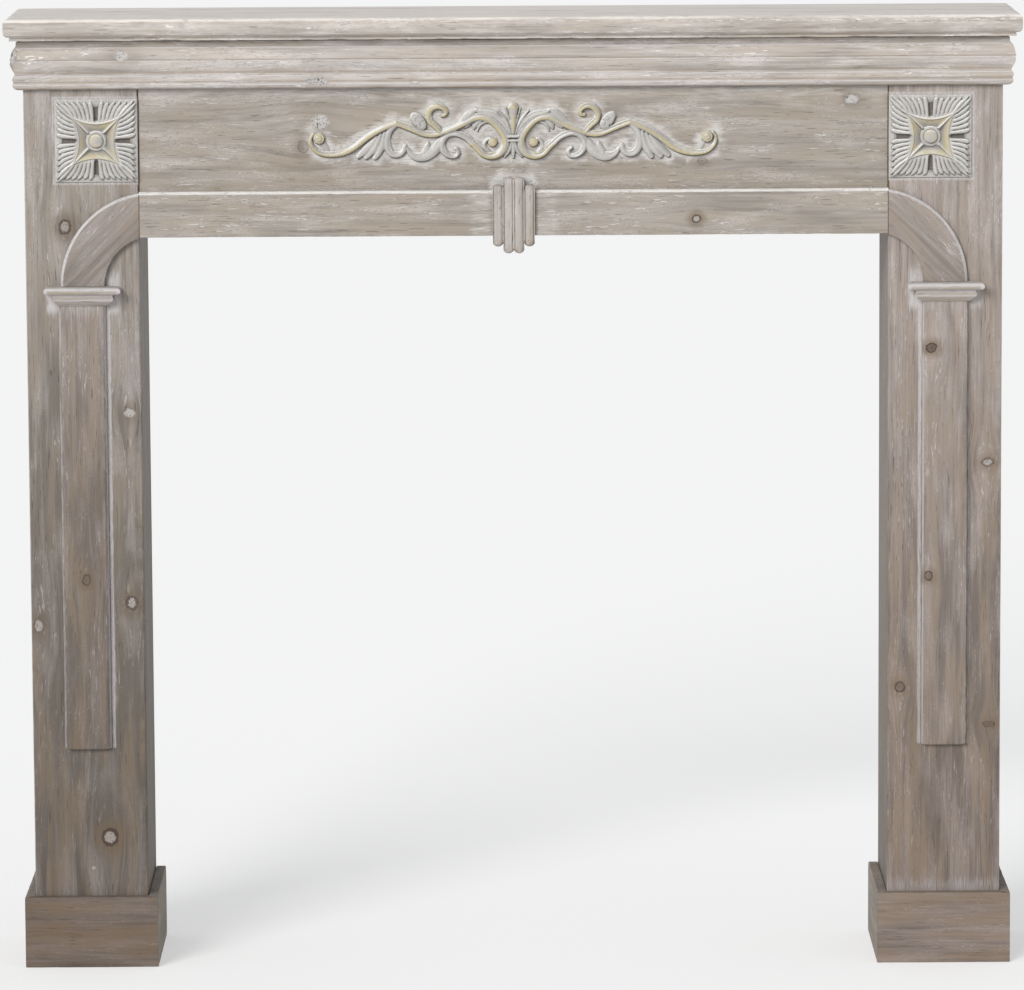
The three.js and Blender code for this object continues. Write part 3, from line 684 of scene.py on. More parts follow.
def scroll_surface():
    """The carving as one closed piece: a height for each plan point, kept down to a little behind the
    board's face, closed by a flat back and walls along the kept cells' border. Returns it with crest,
    hollow (painted shade), gilt and painted_highlight (painted highlight) values."""
    x, z, height, gilt = scroll_plan()
    keep = x >= -1e-6
    x, height, gilt = x[keep], height[:, keep], gilt[:, keep]
    x = np.concatenate([-x[:0:-1], x])
    height, gilt = (np.concatenate([field[:, :0:-1], field], 1) for field in (height, gilt))
    plan = np.stack([*np.meshgrid(x, z), 0 * height], -1)
    worked = 0.35 * (noise(plan, 7, 21) - 0.5) + 0.2 * (noise(plan, 2.2, 22) - 0.5)
    height = height + np.where(height > 0.5, worked, 0)
    height = np.clip(height, -BURIED, SCROLL_RISE)
    raised = np.maximum(height, 0)
    crest = np.clip((raised - smoothed(raised, 5)) / 1.1, 0, 1)
    slope_z, slope_x = np.gradient(smoothed(height, 1), SCROLL_STEP)
    # Painted shade: facing_down, sunk and hollow mark faces turned down and places sunk between strokes,
    # darkened in the colour.
    facing_down = np.clip((0.85 * slope_z - 0.5 * slope_x - 0.55) / 0.9, 0, 1)
    # Painted highlight where the carving's slope faces up and to the left.
    painted_highlight = np.clip((0.5 * slope_x - 0.85 * slope_z - 0.35) / 0.7, 0, 1) * (height > 0.8)
    sunk = np.clip((smoothed(raised, 4) - raised) / 1.6, 0, 1) * (height > 0.3)
    hollow = np.maximum(sunk, facing_down) * 0.9
    rows, columns = height.shape
    index = np.arange(rows * columns).reshape(rows, columns)
    high = np.maximum.reduce([height[:-1, :-1], height[1:, :-1], height[1:, 1:], height[:-1, 1:]])
    cells = np.argwhere(high > -BURIED + 0.02)
    i, j = cells.T
    front = np.stack([index[i, j], index[i + 1, j], index[i + 1, j + 1], index[i, j + 1]], -1)
    used = np.unique(front)
    renumber = np.full(rows * columns, -1)
    renumber[used] = np.arange(len(used))
    front = renumber[front]
    sides = np.concatenate([front[:, [a, (a + 1) % 4]] for a in range(4)])
    code = sides[:, 0] * len(used) + sides[:, 1]
    twin = sides[:, 1] * len(used) + sides[:, 0]
    border = sides[~np.isin(code, twin)]
    first, second = border.T
    walls = np.stack([second, first, first + len(used), second + len(used)], -1)
    faces = np.concatenate([front, front[:, ::-1] + len(used), walls])
    flat = plan.reshape(-1, 3)[used]
    level = height.reshape(-1)[used]
    face_plane = Y_FRIEZE - JOINT
    points = np.stack([flat[:, 0], face_plane - level, SCROLL_Z + flat[:, 1]], -1)
    back = points.copy()
    back[:, 1] = face_plane + BURIED + 0.6
    marks = {"x": x, "z": z, "crest": crest, "hollow": hollow, "gilt": gilt, "painted_highlight": painted_highlight}
    return (np.concatenate([points, back]), faces.tolist()), marks


def from_plan(marks, key):
    """Reads a plan field at points of the finished carving."""
    def nearest(values, places):
        return np.clip(np.round((values - places[0]) / SCROLL_STEP).astype(int), 0, len(places) - 1)

    def values(points):
        row, column = nearest(points[:, 2] - SCROLL_Z, marks["z"]), nearest(points[:, 0], marks["x"])
        return marks[key][row, column]

    return values


# Rosette
LEAF = ROSETTE_HALF - 1.3
LOBES = 6  # leaf lobes in each eighth
SLOT = 0.06  # share of an eighth that the slot takes
SLOT_HALF = 2.4


def rosette_surface():
    """Rosette over (ring, place): a place a runs from a side's middle (0) to a corner (1) and is unfolded
    into eight. Rings: domed button, collar, dished facets up to a hollow-sided rim, fluted leaves out to
    scalloped tips, and the thin base. Returns it with hollow (painted shade), gilt and painted_highlight
    (painted highlight) values for the points."""
    a = np.concatenate([np.linspace(0, 0.035, 4), np.linspace(0.043, 0.1, 9), np.linspace(0.114, 1, 54)])
    ridge = np.exp(-(((1 - a) / 0.17) ** 2))
    lobe = np.abs(np.sin(np.pi * LOBES * (a - SLOT) / (1 - SLOT))) ** 0.6
    full = ROSETTE_RISE
    turn = a * np.pi / 4
    rim_x, rim_z = LEAF * 0.58 * a, LEAF * (0.425 + 0.155 * a * a)
    rim_h = full * (0.82 + 0.12 * ridge)
    rings = []

    # A ring's hollow value is painted shade: how much its place is darkened as a recess.
    def ring(x, z, h, hollow=0.0, gilt=0.0):
        rings.append(np.stack([x, z + 0 * a, h + 0 * a, hollow + 0 * a, gilt + 0 * a], -1))

    def circle(radius, height, **marks):
        ring(radius * np.sin(turn), radius * np.cos(turn), height, **marks)

    button, collar = LEAF * 0.172, LEAF * 0.225
    for t in np.linspace(0.12, 1, 8) * np.pi / 2:
        circle(button * math.sin(t), full * (0.66 + 0.36 * math.cos(t)), gilt=0.6)
    circle(button * 1.02, full * 0.34, hollow=0.8)
    for t in np.linspace(0, np.pi, 6):
        circle(collar * 0.94 - 1.9 * math.cos(t), full * (0.36 + 0.12 * math.sin(t)), hollow=0.0)
    start_x, start_z = (collar * 0.94 + 1.9) * np.sin(turn), (collar * 0.94 + 1.9) * np.cos(turn)
    for s in np.linspace(0.04, 0.94, 15):
        floor = full * (0.24 + 0.5 * s**1.3)
        height = floor + (rim_h * 0.93 - floor) * ridge
        ring(start_x + (rim_x - start_x) * s, start_z + (rim_z - start_z) * s, height,
             hollow=(1 - ridge) * (0.75 - 0.6 * s), gilt=(1 - ridge) * rise(0.1, 0.5, np.array(s)))
    for s, up in ((0.97, 0.97), (1.0, 1.0), (1.03, 0.98)):
        ring(rim_x * s, rim_z * s, rim_h * up, gilt=(1 - ridge) * 0.7)
    tip_x = LEAF * a**0.95
    ragged = 0.05 * noise(np.stack([a * LOBES, 0 * a, 0 * a], -1), 1.0, 33) * (a < 0.9)
    for s in np.concatenate([[0.04, 0.08], np.linspace(0.13, 0.93, 18), [0.96, 0.985, 1.0]]):
        scallop = 1 - (0.13 * (1 - lobe) + ragged) * rise(0.7, 1.0, np.array(s))
        place = np.clip((a - SLOT) / (1 - SLOT), 0, 1)
        curl = place + 0.22 * math.sin(math.pi * s) * place * (1 - place)
        lobe = np.abs(np.sin(np.pi * LOBES * curl)) ** 0.55
        low = full * (0.66 - 0.22 * s**1.3)
        flute = 2.5 * (lobe - 0.6) * rise(0.0, 0.25, np.array(s))
        droop = full * 0.2 * rise(0.9, 1.02, np.array(s))
        height = low + flute + (rim_h * (1 - 0.3 * s) - low) * ridge - droop
        out = rim_z * 1.03 + (LEAF * scallop - rim_z * 1.03) * s
        side = rim_x * 1.03 + (tip_x * scallop - rim_x * 1.03) * s**1.1
        inner_end = np.clip(rim_z[0] + 4.6 - out, 0, None)
        in_slot = rise(SLOT_HALF + 0.35, SLOT_HALF - 0.35, np.hypot(side, inner_end))
        height = height * (1 - in_slot * 0.8)
        # Painted shade between the lobes and in the slots.
        shaded = np.maximum((1 - lobe) * 0.9, in_slot * 1.5) * rise(0.05, 0.2, np.array(s))
        ring(side, out, height, hollow=shaded * (1 - ridge * 0.7))
    ring(tip_x * scallop * 1.005, LEAF * scallop * 1.005, 2.0, hollow=0.7)
    half = ROSETTE_HALF
    ring(half * 0.985 * a, half * 0.985, 1.9)
    ring(half * a, half, 1.1)
    ring(half * a, half, 0.0)
    eighth = np.stack(rings)
    columns = []
    for part in range(8):
        block = eighth[:, :-1] if part % 2 == 0 else eighth[:, :0:-1]
        side = block[..., 0] * (1 if part % 2 == 0 else -1)
        angle = ((part + 1) // 2) * math.pi / 2
        x = side * math.cos(angle) + block[..., 1] * math.sin(angle)
        z = block[..., 1] * math.cos(angle) - side * math.sin(angle)
        columns.append(np.stack([x, block[..., 2], z, block[..., 3], block[..., 4]], -1))
    whole = np.concatenate(columns, 1)
    back = Y_LEG - JOINT
    points = np.stack([ROSETTE_X + whole[..., 0], back - whole[..., 1], ROSETTE_Z + whole[..., 2]], -1)
    rows, count = points.shape[:2]
    worked = 0.25 * (noise(points, 6, 31) - 0.5) + 0.14 * (noise(points, 1.8, 32) - 0.5)
    points[:-3, :, 1] += worked[:-3]
    across = np.cross(np.gradient(points, axis=0), np.roll(points, -1, 1) - np.roll(points, 1, 1))
    up = -np.sign(across[..., 1]) * across[..., 2] / (np.linalg.norm(across, axis=-1) + 1e-9)
    # Painted highlight on the faces turned up.
    painted_highlight = np.clip((up - 0.12) / 0.5, 0, 1)
    # hollow is painted shade: the recesses given with the rings, and the faces turned down.
    hollow = np.maximum(whole[..., 3], np.clip((-0.3 - up) / 0.5, 0, 0.75))
    faces = grid_faces(rows, count, True).tolist()
    faces += [list(range(count)), list(range((rows - 1) * count, rows * count))]
    marks = {"hollow": hollow.reshape(-1), "gilt": whole[..., 4].reshape(-1), "painted_highlight": painted_highlight.reshape(-1)}
    return (points.reshape(-1, 3), faces), marks


def beside(places, values, side):
    """Reads values given at places for the nearest of the final points, which are the same points
    merged."""
    key = {tuple(row): index for index, row in enumerate(np.round(places * [side, 1, 1], 2).tolist())}

    def read(points):
        rows = np.round(points.astype(float), 2).tolist()
        return values[[key.get(tuple(row), 0) for row in rows]]
    return read


# Keystone
def keystone_surface():
    """Four reeds side by side, the middle pair longer, each a half-ellipse over 0.78 of its width with a
    small bead in each groove: over (place on the reeds' outline, share of the height) each reed's ends
    are quarter rounds, and a flat back closes it."""
    reed = 12.2
    radius = reed / 2
    back = Y_BAND - JOINT
    valley, crest = 4.2, 6.8
    rows = np.array([0, 0.04, 0.1, 0.2, 0.35, 0.6, 1.0])
    grid = []
    for place in (-1.5, -0.5, 0.5, 1.5):
        long = abs(place) < 1
        top = Z_RAIL_TOP + (15.5 if long else 6.8)
        bottom = Z_RAIL_BOTTOM - (20.5 if long else 12.5)
        across = np.linspace(-1, 1, 29)
        reed_arch = np.sqrt(np.clip(1 - (across / 0.78) ** 2, 0, 1))
        bead = 0.45 * np.sqrt(np.clip(1 - ((1 - abs(across)) / 0.2) ** 2, 0, 1))
        arch = np.maximum(reed_arch, bead)
        cap = np.sqrt(np.clip(1 - (across * 0.94) ** 2, 0, 1))
        low, high = bottom + radius * (1 - cap), top - radius * 0.5 * (1 - cap)
        middle = np.linspace(0, 1, 30)[1:-1]
        for column in range(len(across)):
            run = high[column] - low[column]
            straight = low[column] + radius + middle * (run - 2 * radius)
            z = np.concatenate([low[column] + rows * radius, straight, (high[column] - rows * radius)[::-1]])
            swell = np.sqrt(1 - (1 - rows) ** 2)
            factor = np.concatenate([swell, np.ones(len(middle)), swell[::-1]])
            front = factor * (valley + (crest - valley) * arch[column] ** 0.75)
            x = place * reed + across[column] * radius
            grid.append(np.stack([np.full(len(z), x), back - front, z], -1))
    grid = np.array(grid)
    sides = [grid[0] * [1, 0, 1] + [0, back, 0], grid[-1] * [1, 0, 1] + [0, back, 0]]
    grid = np.concatenate([[sides[0]], grid, [sides[1]]])
    worked = 0.5 * noise(grid, 8, 41) + 1.1 * rise(0.74, 0.84, noise(grid, 4, 42))
    worked[[0, -1]] = 0
    worked[:, [0, -1]] = 0
    grid[..., 1] += worked
    rows_count, columns = grid.shape[:2]
    index = np.arange(rows_count * columns).reshape(rows_count, columns)
    loop = np.concatenate([index[:, 0], index[-1, 1:], index[-2::-1, -1], index[0, -2:0:-1]])
    faces = grid_faces(rows_count, columns, False).tolist() + [loop.tolist()]
    half = reed * 0.95
    head = [-half, half, back - 1.5, Y_FRIEZE - JOINT, Z_RAIL_TOP + JOINT, Z_RAIL_TOP + 13.5]
    return joined((grid.reshape(-1, 3), faces), rounded_block(head, 2, 43, 0.5, chips=0))


# Camera, floor and light
def add_camera():
    """Camera fitted to the photograph's edges and corners: place in millimetres, angles in degrees."""
    place = Vector((-9.43, -7513.9, 1593.8)) * MM
    pitch, yaw, roll = (math.radians(v) for v in (7.918, 0.043, -0.326))
    ahead = Vector((math.sin(yaw) * math.cos(pitch), math.cos(yaw) * math.cos(pitch), -math.sin(pitch)))
    level = Vector((math.cos(yaw), -math.sin(yaw), 0))
    upright = level.cross(ahead)
    right = level * math.cos(roll) + upright * math.sin(roll)
    up = upright * math.cos(roll) - level * math.sin(roll)
    data = bpy.data.cameras.new("camera")
    data.sensor_width = 36.0
    data.lens = 6407.8 / 1024 * data.sensor_width
    data.clip_end = 100.0
    camera = bpy.data.objects.new("camera", data)
    turn = Matrix((right, up, -ahead)).transposed()
    camera.matrix_world = Matrix.Translation(place) @ turn.to_4x4()
    bpy.context.scene.collection.objects.link(camera)
    bpy.context.scene.camera = camera


def add_floor():
    size = 60.0
    mesh = bpy.data.meshes.new("floor")
    corners = [(-size, -size, 0), (size, -size, 0), (size, size, 0), (-size, size, 0)]
    mesh.from_pydata(corners, [], [(0, 1, 2, 3)])
    floor = bpy.data.objects.new("floor", mesh)
    bpy.context.scene.collection.objects.link(floor)
    paint = bpy.data.materials.new("pale_floor")
    paint.use_nodes = True
    shader = paint.node_tree.nodes["Principled BSDF"]
    shader.inputs["Base Color"].default_value = (0.55, 0.55, 0.55, 1)
    shader.inputs["Roughness"].default_value = 0.9
    shader.inputs["Specular IOR Level"].default_value = 0.1
    shader.inputs["Emission Color"].default_value = (1, 1, 1, 1)
    shader.inputs["Emission Strength"].default_value = 0.4
    mesh.materials.append(paint)


def add_light():
    """Even pale surroundings, and one broad soft sun from high on the left in front."""
    world = bpy.data.worlds.new("studio")
    world.use_nodes = True
    world.node_tree.nodes["Background"].inputs[0].default_value = (0.97, 0.985, 1.0, 1)
    world.node_tree.nodes["Background"].inputs[1].default_value = 0.58
    bpy.context.scene.world = world
    sun = bpy.data.lights.new("soft_sun", "SUN")
    sun.energy = 2.55
    sun.angle = math.radians(28)
    sun.color = (1.0, 0.99, 0.97)
    lamp = bpy.data.objects.new("soft_sun", sun)
    lamp.rotation_euler = Vector((0.42, 0.8, -0.42)).to_track_quat("-Z", "Y").to_euler()
    bpy.context.scene.collection.objects.link(lamp)


add_camera()
add_floor()
add_light()
bpy.context.scene.view_settings.view_transform = "Standard"


# Finishes
def bell(distance, width):
    """1 on a line, fading to 0 at width."""
    return abs(distance).step(width, width * 0.25)


def in_creases(m, creases):
    """The strongest of several level lines, each a height, how far it fades and its share."""
    found = 0.0
    for height, width, share in creases:
        found = (bell(m.z - height, width) * share).most(found)
    return found


def leg_lime(side):
    """White build-up on a leg: beside the strip, round the rosette, along the arch, under the capital and
    on the outer arris."""
    def lime(m):
        x = m.x * side
        beside_strip = m.z.step(STRIP[4] - 2, STRIP[4] + 3) * m.z.step(CAPITAL[4] + 1, CAPITAL[4] - 1)
        inner = bell(x - (STRIP[0] - 3.2), 3.8) * 0.8
        outer = bell(x - (STRIP[1] + 1.5), 2.4) * 0.6
        square = abs(x - ROSETTE_X).most(abs(m.z - ROSETTE_Z)) - ROSETTE_HALF
        round_rosette = bell(square - 0.5, 5.5) * 0.65
        radius = ((x - ARCH_CENTRE) ** 2 + (m.z - Z_ARCH) ** 2) ** 0.5
        above_foot = m.z.step(Z_ARCH - 24, Z_ARCH - 8)
        corner = bell(radius - (ARCH_INNER - 8), 15.0) * m.z.step(Z_ARCH + 30, Z_ARCH) * above_foot
        below = bell(m.z - (CAPITAL[4] + 4), 24.0) * bell(abs(x - LEG_MID) - BAND_HALF - 9, 14.0) * 0.85
        arris = bell(x - LEG_OUT, 2.2) * 0.6
        spots = ((inner + outer) * beside_strip).most(round_rosette)
        foot = m.z.step(116, 88) * (0.55 if side > 0 else 0.2)
        return spots.most(corner * 0.9).most(below).most(arris).most(foot) * m.y.step(Y_LEG + 6, Y_LEG + 2)
    return lime


def strip_lime(m):
    """White wash on a strip: along its inner flank, at its head and at the outer edge."""
    x = abs(m.x)
    flank = x.step(STRIP[0] + 2.2, STRIP[0] + 0.8) * 0.95
    head_wash = m.z.step(CAPITAL[4] - 30, CAPITAL[4] - 4) * 0.42
    edge = bell(x - STRIP[1], 1.6) * 0.35
    return flank.most(head_wash).most(edge)


def shelf_wear_and_painted_top_light(m):
    """The shelf's top is paler, painted light where light falls on it, and its nosing is worn in a ragged
    line that is broadest at the right.
    """
    bands = m.grain(m.x / 170.0, m.y / 16.0, m.z / 30.0, 3.0)
    # Painted light: the top face is painted paler for the light falling on it.
    top = (m.z - SHELF[5]).step(-7.0, -0.5) * (bands * 2.0 + 0.05)
    worn = m.grain(m.x / 9.0, m.y / 3.0, m.z / 1.6, 3.0, 0.7)
    line = bell(m.z - (SHELF[5] - 5.2), 3.4) * worn.step(0.42, 0.62) * m.x.step(-900, 500) * 0.9
    nose = bell(m.z - (SHELF[5] - 8), 9.0) * 0.35
    return top.most(line).most(nose)


def cornice_wash_and_painted_highlight(m):
    """Painted highlights: white lines along the tops of the cornice's beads, and a paler band of wash in its
    cove.
    """
    return in_creases(m, [(1086.7, 1.5, 0.9), (1071.0, 1.4, 0.8), (1065.5, 6.5, 0.4), (1053.7, 1.5, 0.9),
                          (1043.5, 1.5, 0.9)])


def shelf_tear_and_painted_shade(m):
    """Painted shade in brown under the shelf's face, and brown wood in the torn line of its nosing at the
    right.
    """
    torn = m.grain(m.x / 7.0, m.y / 3.0, m.z / 1.4, 3.0, 0.7).step(0.46, 0.56)
    line = bell(m.z - (SHELF[5] - 7.2), 1.6) * torn * m.x.step(380, 520)
    # The two lines under the face are painted shade.
    return line.most(bell(m.z - 1101.4, 1.0) * 0.25).most(bell(m.z - 1098.6, 1.6) * 0.12)


def joint_brown(m):
    """Bare brown wood in the joint between frieze and leg."""
    return bell(abs(m.x) - LEG_IN, 1.9) * m.z.step(Z_RAIL_BOTTOM - 4, Z_RAIL_BOTTOM) * 1.4


def arch_wash_and_painted_highlight(m):
    """Painted highlight in white along the arch's outer bevel, and white wash on the sides of the band."""
    radius = ((abs(m.x) - ARCH_CENTRE) ** 2 + (m.z - Z_ARCH) ** 2) ** 0.5
    return bell(radius - (ARCH_OUTER - ARCH_BEVEL * 0.5), 2.9).most((m.y - Y_BAND).step(2.0, 5.0) * 0.8)


def rail_wash_and_painted_highlight(m):
    """Painted highlight in white along the rail's upper bevel, and white wash beside the keystone."""
    by_key = bell(abs(m.x) - 38, 26.0) * 0.42
    return bell(m.z - (Z_RAIL_TOP - ARCH_BEVEL * 0.5), 2.9).most(by_key)


def cornice_painted_shade(m):
    """Painted shade: brown lines under the shelf and in the creases and undersides of the cornice."""
    return in_creases(m, [(1091.0, 2.6, 0.1), (1072.6, 1.4, 0.5), (1057.5, 2.2, 0.4), (1046.6, 1.6, 0.5),
                          (1038.3, 1.8, 0.6)])


def capital_lime(m):
    """White wash on the crests and in the creases of a capital, thickest on its outer end."""
    tall = CAPITAL[5] - CAPITAL[4]
    share = (m.z - CAPITAL[4]) / tall
    lines = bell(share - 0.9, 0.16).most(bell(share - 0.53, 0.09)).most(bell(share - 0.28, 0.1) * 0.8)
    half = (CAPITAL[1] - CAPITAL[0]) / 2
    ends = abs(abs(m.x) - LEG_MID).step(half - 7, half - 3)
    return lines.most(ends * 0.9)


def keystone_lime(m):
    """White wash on the keystone's head."""
    return m.z.step(Z_RAIL_TOP - 4, Z_RAIL_TOP + 14) * 0.6


def keystone_groove_darkening(m):
    """Darker brown deeper in the grooves between the reeds, and small dark pits."""
    pits = m.grain(m.x / 2.4, m.y / 4.0, m.z / 3.0, 1.0).step(0.7, 0.76)
    groove = (m.y - (KEY[2] + 2.6)).step(0.0, 1.6)
    return (groove * 0.45).most(pits * 0.9)


# Knots: place across and up, radii, how dark the rim and how white the heart
KNOTS = {
    "leg_left": [
        (-522.9, 877.5, 7.0, 8.5, 0.8, 0.4), (-450.6, 658.7, 8.0, 6.5, 0.3, 1.0),
        (-450.9, 433.8, 6.5, 8.5, 0.75, 0.7), (-560.6, 407.1, 6.0, 9.0, 0.5, 0.7),
        (-480.2, 153.8, 9.0, 10.5, 0.95, 0.7), (-500.2, 117.2, 2.4, 2.4, 0.0, 1.0),
    ],
    "leg_right": [
        (553.9, 595.0, 7.0, 5.0, 0.6, 0.7), (451.5, 328.4, 6.0, 6.0, 0.8, 0.1),
        (556.5, 283.6, 7.0, 3.5, 0.5, 0.0),
    ],
    "strip_left": [(-503.4, 462.6, 4.5, 6.0, 0.7, 0.1)],
    "strip_right": [(486.7, 731.0, 6.5, 5.5, 0.9, 0.0), (484.1, 461.6, 4.5, 5.5, 0.8, 0.1)],
    "cornice": [
        (-454.0, 1077.4, 9.0, 7.0, 0.1, 1.0), (-226.0, 1047.1, 13.0, 6.0, 0.1, 1.0),
        (-581.0, 1078.0, 7.0, 11.0, 0.2, 1.0),
    ],
    "shelf": [(-382.2, 1112.6, 4.0, 3.0, 0.0, 1.0)],
    "frieze": [
        (-224.6, 998.2, 12.0, 9.0, 0.1, 1.0), (-244.7, 969.2, 6.0, 8.0, 0.4, 0.0),
        (394.0, 1021.4, 10.0, 6.5, 0.3, 1.0), (219.5, 950.2, 6.0, 4.0, 0.35, 0.0),
        (5.3, 939.7, 7.0, 2.4, 0.3, 0.4),
    ],
    "rail": [(212.4, 883.6, 5.0, 4.5, 0.8, 0.5)],
}

MOULDING_FOOT = (130, 120, 114)
leg_left = limed("leg_left_limed", "z", (114, 105, 99), (170, 162, 155), KNOTS["leg_left"], leg_lime(-1),
                 joint_brown, 1.0, lively=1.3, pale=0.55, waist=0.6)
leg_right = limed("leg_right_limed", "z", (131, 119, 112), (178, 168, 162), KNOTS["leg_right"], leg_lime(1),
                  joint_brown, 2.0, lively=1.2, pale=0.55, waist=0.42)
leg_sides = limed("leg_sides_limed", "z", (122, 114, 107), (158, 151, 145), seed=3.0, lively=0.6)
strip_left_finish = limed("strip_left_limed", "z", (114, 104, 97), (166, 155, 148), KNOTS["strip_left"],
                          strip_lime, seed=4.0, lively=1.2, waist=0.45)
strip_right_finish = limed("strip_right_limed", "z", (134, 123, 117), (176, 166, 160), KNOTS["strip_right"],
                           strip_lime, seed=5.0, waist=0.25)
arch_left_finish = limed("arch_left_limed", "rise", (120, 112, 106), (164, 154, 148), lime=arch_wash_and_painted_highlight,
                         seed=6.0)
arch_right_finish = limed("arch_right_limed", "fall", (126, 117, 110), (172, 162, 156), lime=arch_wash_and_painted_highlight,
                          seed=6.5)
capital_finish = limed("capital_limed", "x", MOULDING_FOOT, (202, 193, 185), lime=capital_lime, seed=7.0)
plinth_left_finish = limed("plinth_left_limed", "x", (111, 99, 91), (160, 150, 142), seed=8.0)
plinth_right_finish = limed("plinth_right_limed", "x", (134, 122, 115), (170, 160, 152), seed=8.5)
plinth_side_finish = limed("plinth_side_limed", "y", (143, 134, 126), (176, 166, 158), seed=9.0, lively=0.7)
# The cornice's lime is partly painted highlight and its brown is painted shade.
cornice_finish = limed("cornice_limed", "x", MOULDING_FOOT, (204, 196, 190), KNOTS["cornice"], cornice_wash_and_painted_highlight,
                       cornice_painted_shade, 10.0)
cornice_side_finish = limed("cornice_side_limed", "y", MOULDING_FOOT, (192, 185, 179), lime=cornice_wash_and_painted_highlight,
                            brown=cornice_painted_shade, seed=11.0)
# The shelf's near-white wash colour also paints the light on its top.
shelf_finish = limed("shelf_limed", "x", MOULDING_FOOT, (199, 191, 184), KNOTS["shelf"], shelf_wear_and_painted_top_light,
                     shelf_tear_and_painted_shade, seed=12.0, wash=(252, 245, 238))
# The frieze's lime attribute is white wash round the carving, keystone and rail, and painted light under the
# cornice.
frieze_finish = limed("frieze_limed", "x", (122, 113, 105), (177, 169, 161), KNOTS["frieze"],
                      lambda m: m.attribute("lime") * 0.95, joint_brown, 13.0, wash=(226, 222, 218))
# The rail's near-white wash colour paints the highlight on its bevel.
rail_finish = limed("rail_limed", "x", (122, 113, 105), (182, 174, 166), KNOTS["rail"], rail_wash_and_painted_highlight,
                    joint_brown, seed=14.0, wash=(255, 252, 248))
key_finish = limed("keystone_limed", "z", (130, 122, 116), (200, 193, 187), lime=keystone_lime,
                   brown=keystone_groove_darkening, seed=15.0, lively=0.6, pale=0.3)
carving = carved_wash_and_painted_light()


# Pieces
def shelf_profile():
    """Inset at the ends, inset at the front and height from the underside to the top: fillet, cove, quarter
    round nosing and a flat top strip."""
    low, high = SHELF[4], SHELF[5]
    thick = high - low
    fillet, nose, hollow = 5.5, thick * 0.2, thick * 0.27 * 0.75
    points = [(fillet + 22, 0), (fillet + 1.4, 0), (fillet + 1, 0.4), (fillet + 1, 2.6), (fillet + 2, 3.4)]
    points.append((fillet + 1.2, 4.4))
    for t in np.linspace(0, np.pi / 2, 9):
        points.append((fillet * (1 - math.sin(t)), 4.6 + hollow * (1 - math.cos(t))))
    points += [(0, z) for z in np.linspace(4.6 + hollow + 2, thick - nose - 1, 5)]
    for t in np.linspace(0, np.pi / 2, 10):
        points.append((nose * (1 - math.cos(t)), thick - nose * (1 - math.sin(t))))
    points += [(nose + extra, thick) for extra in (2, 5, 9, 14, 20)]
    return [(inset, inset, low + z) for inset, z in points]


# Gouges: centre, radii and depth
tears = [
    ((524, SHELF[2], SHELF[5] - 6.5), (18, 6, 1.8), 1.6),
    ((566, SHELF[2], SHELF[5] - 6.2), (20, 6, 2.0), 2.0),
    ((-382, SHELF[2], SHELF[5] - 8.4), (4, 5, 3), 1.5),
]
shelf = wrapped(shelf_profile(), *SHELF[:4], 3.0, 51, chips=1.2, gouges=tears)
piece("shelf", shelf, ["shelf_board"], "limed_fir", shelf_finish)

CORNICE_SECTION = np.array([
    (0, 1), (0.5, 1), (0.48, 0.9), (0.6, 0.865), (0.78, 0.82), (0.89, 0.74), (0.92, 0.67), (1, 0.64),
    (1, 0.61), (0.92, 0.585), (0.99, 0.56), (0.98, 0.52), (0.9, 0.46), (0.77, 0.39), (0.62, 0.34),
    (0.62, 0.305), (0.76, 0.27), (0.82, 0.235), (0.8, 0.185), (0.68, 0.155), (0.8, 0.13),
    (0.8, 0.08), (0.7, 0.035), (0.45, 0), (0, 0),
])
cornice_out = Y_LEG - CORNICE[2]
cornice_high = CORNICE[5] - CORNICE[4]
cornice_outline = quartered(CORNICE_SECTION, np.roll(CORNICE_SECTION, -1, axis=0))
cornice_outline = cornice_outline * [cornice_out - JOINT, cornice_high] + [JOINT, CORNICE[4]]
outs = cornice_outline[:, 0]
mitre = LEG_OUT + outs - JOINT
left_chips = [((-584, -95, 1082), (8, 9, 8), 4.2), ((-580, -93, 1061), (6, 7, 6), 3.2)]
torn_knots = [
    ((-454, CORNICE[2] + 2, 1077.4), (8, 7, 5), 2.4),
    ((-226, CORNICE[2] + 5, 1047.1), (11, 7, 4), 2.2),
]
cornice_run = worn_run(cornice_outline, -mitre, mitre, 3.0, lambda o, z, x: (x, Y_LEG - o, z), 61,
                       chips=0.9, gouges=left_chips + torn_knots)
piece("cornice_run", cornice_run, ["cornice_front"], "limed_fir", cornice_finish)


def cornice_end(gouges=()):
    """The cornice's return on the right, carried from the mitre to the wall."""
    start = Y_LEG - outs + JOINT
    return worn_run(cornice_outline, start, Y_WALL, 3.0, lambda o, z, y: (LEG_OUT + o, y, z), 62, chips=0.9,
                    gouges=gouges)


piece("cornice_end_right", cornice_end(), ["cornice_right"], "limed_fir", cornice_side_finish)
end_chips = [((-x, y, z), radius, deep) for (x, y, z), radius, deep in left_chips]
piece("cornice_end_left", mirrored(cornice_end(end_chips)), ["cornice_left"], "limed_fir",
      cornice_side_finish)

scroll, scroll_marks = scroll_surface()


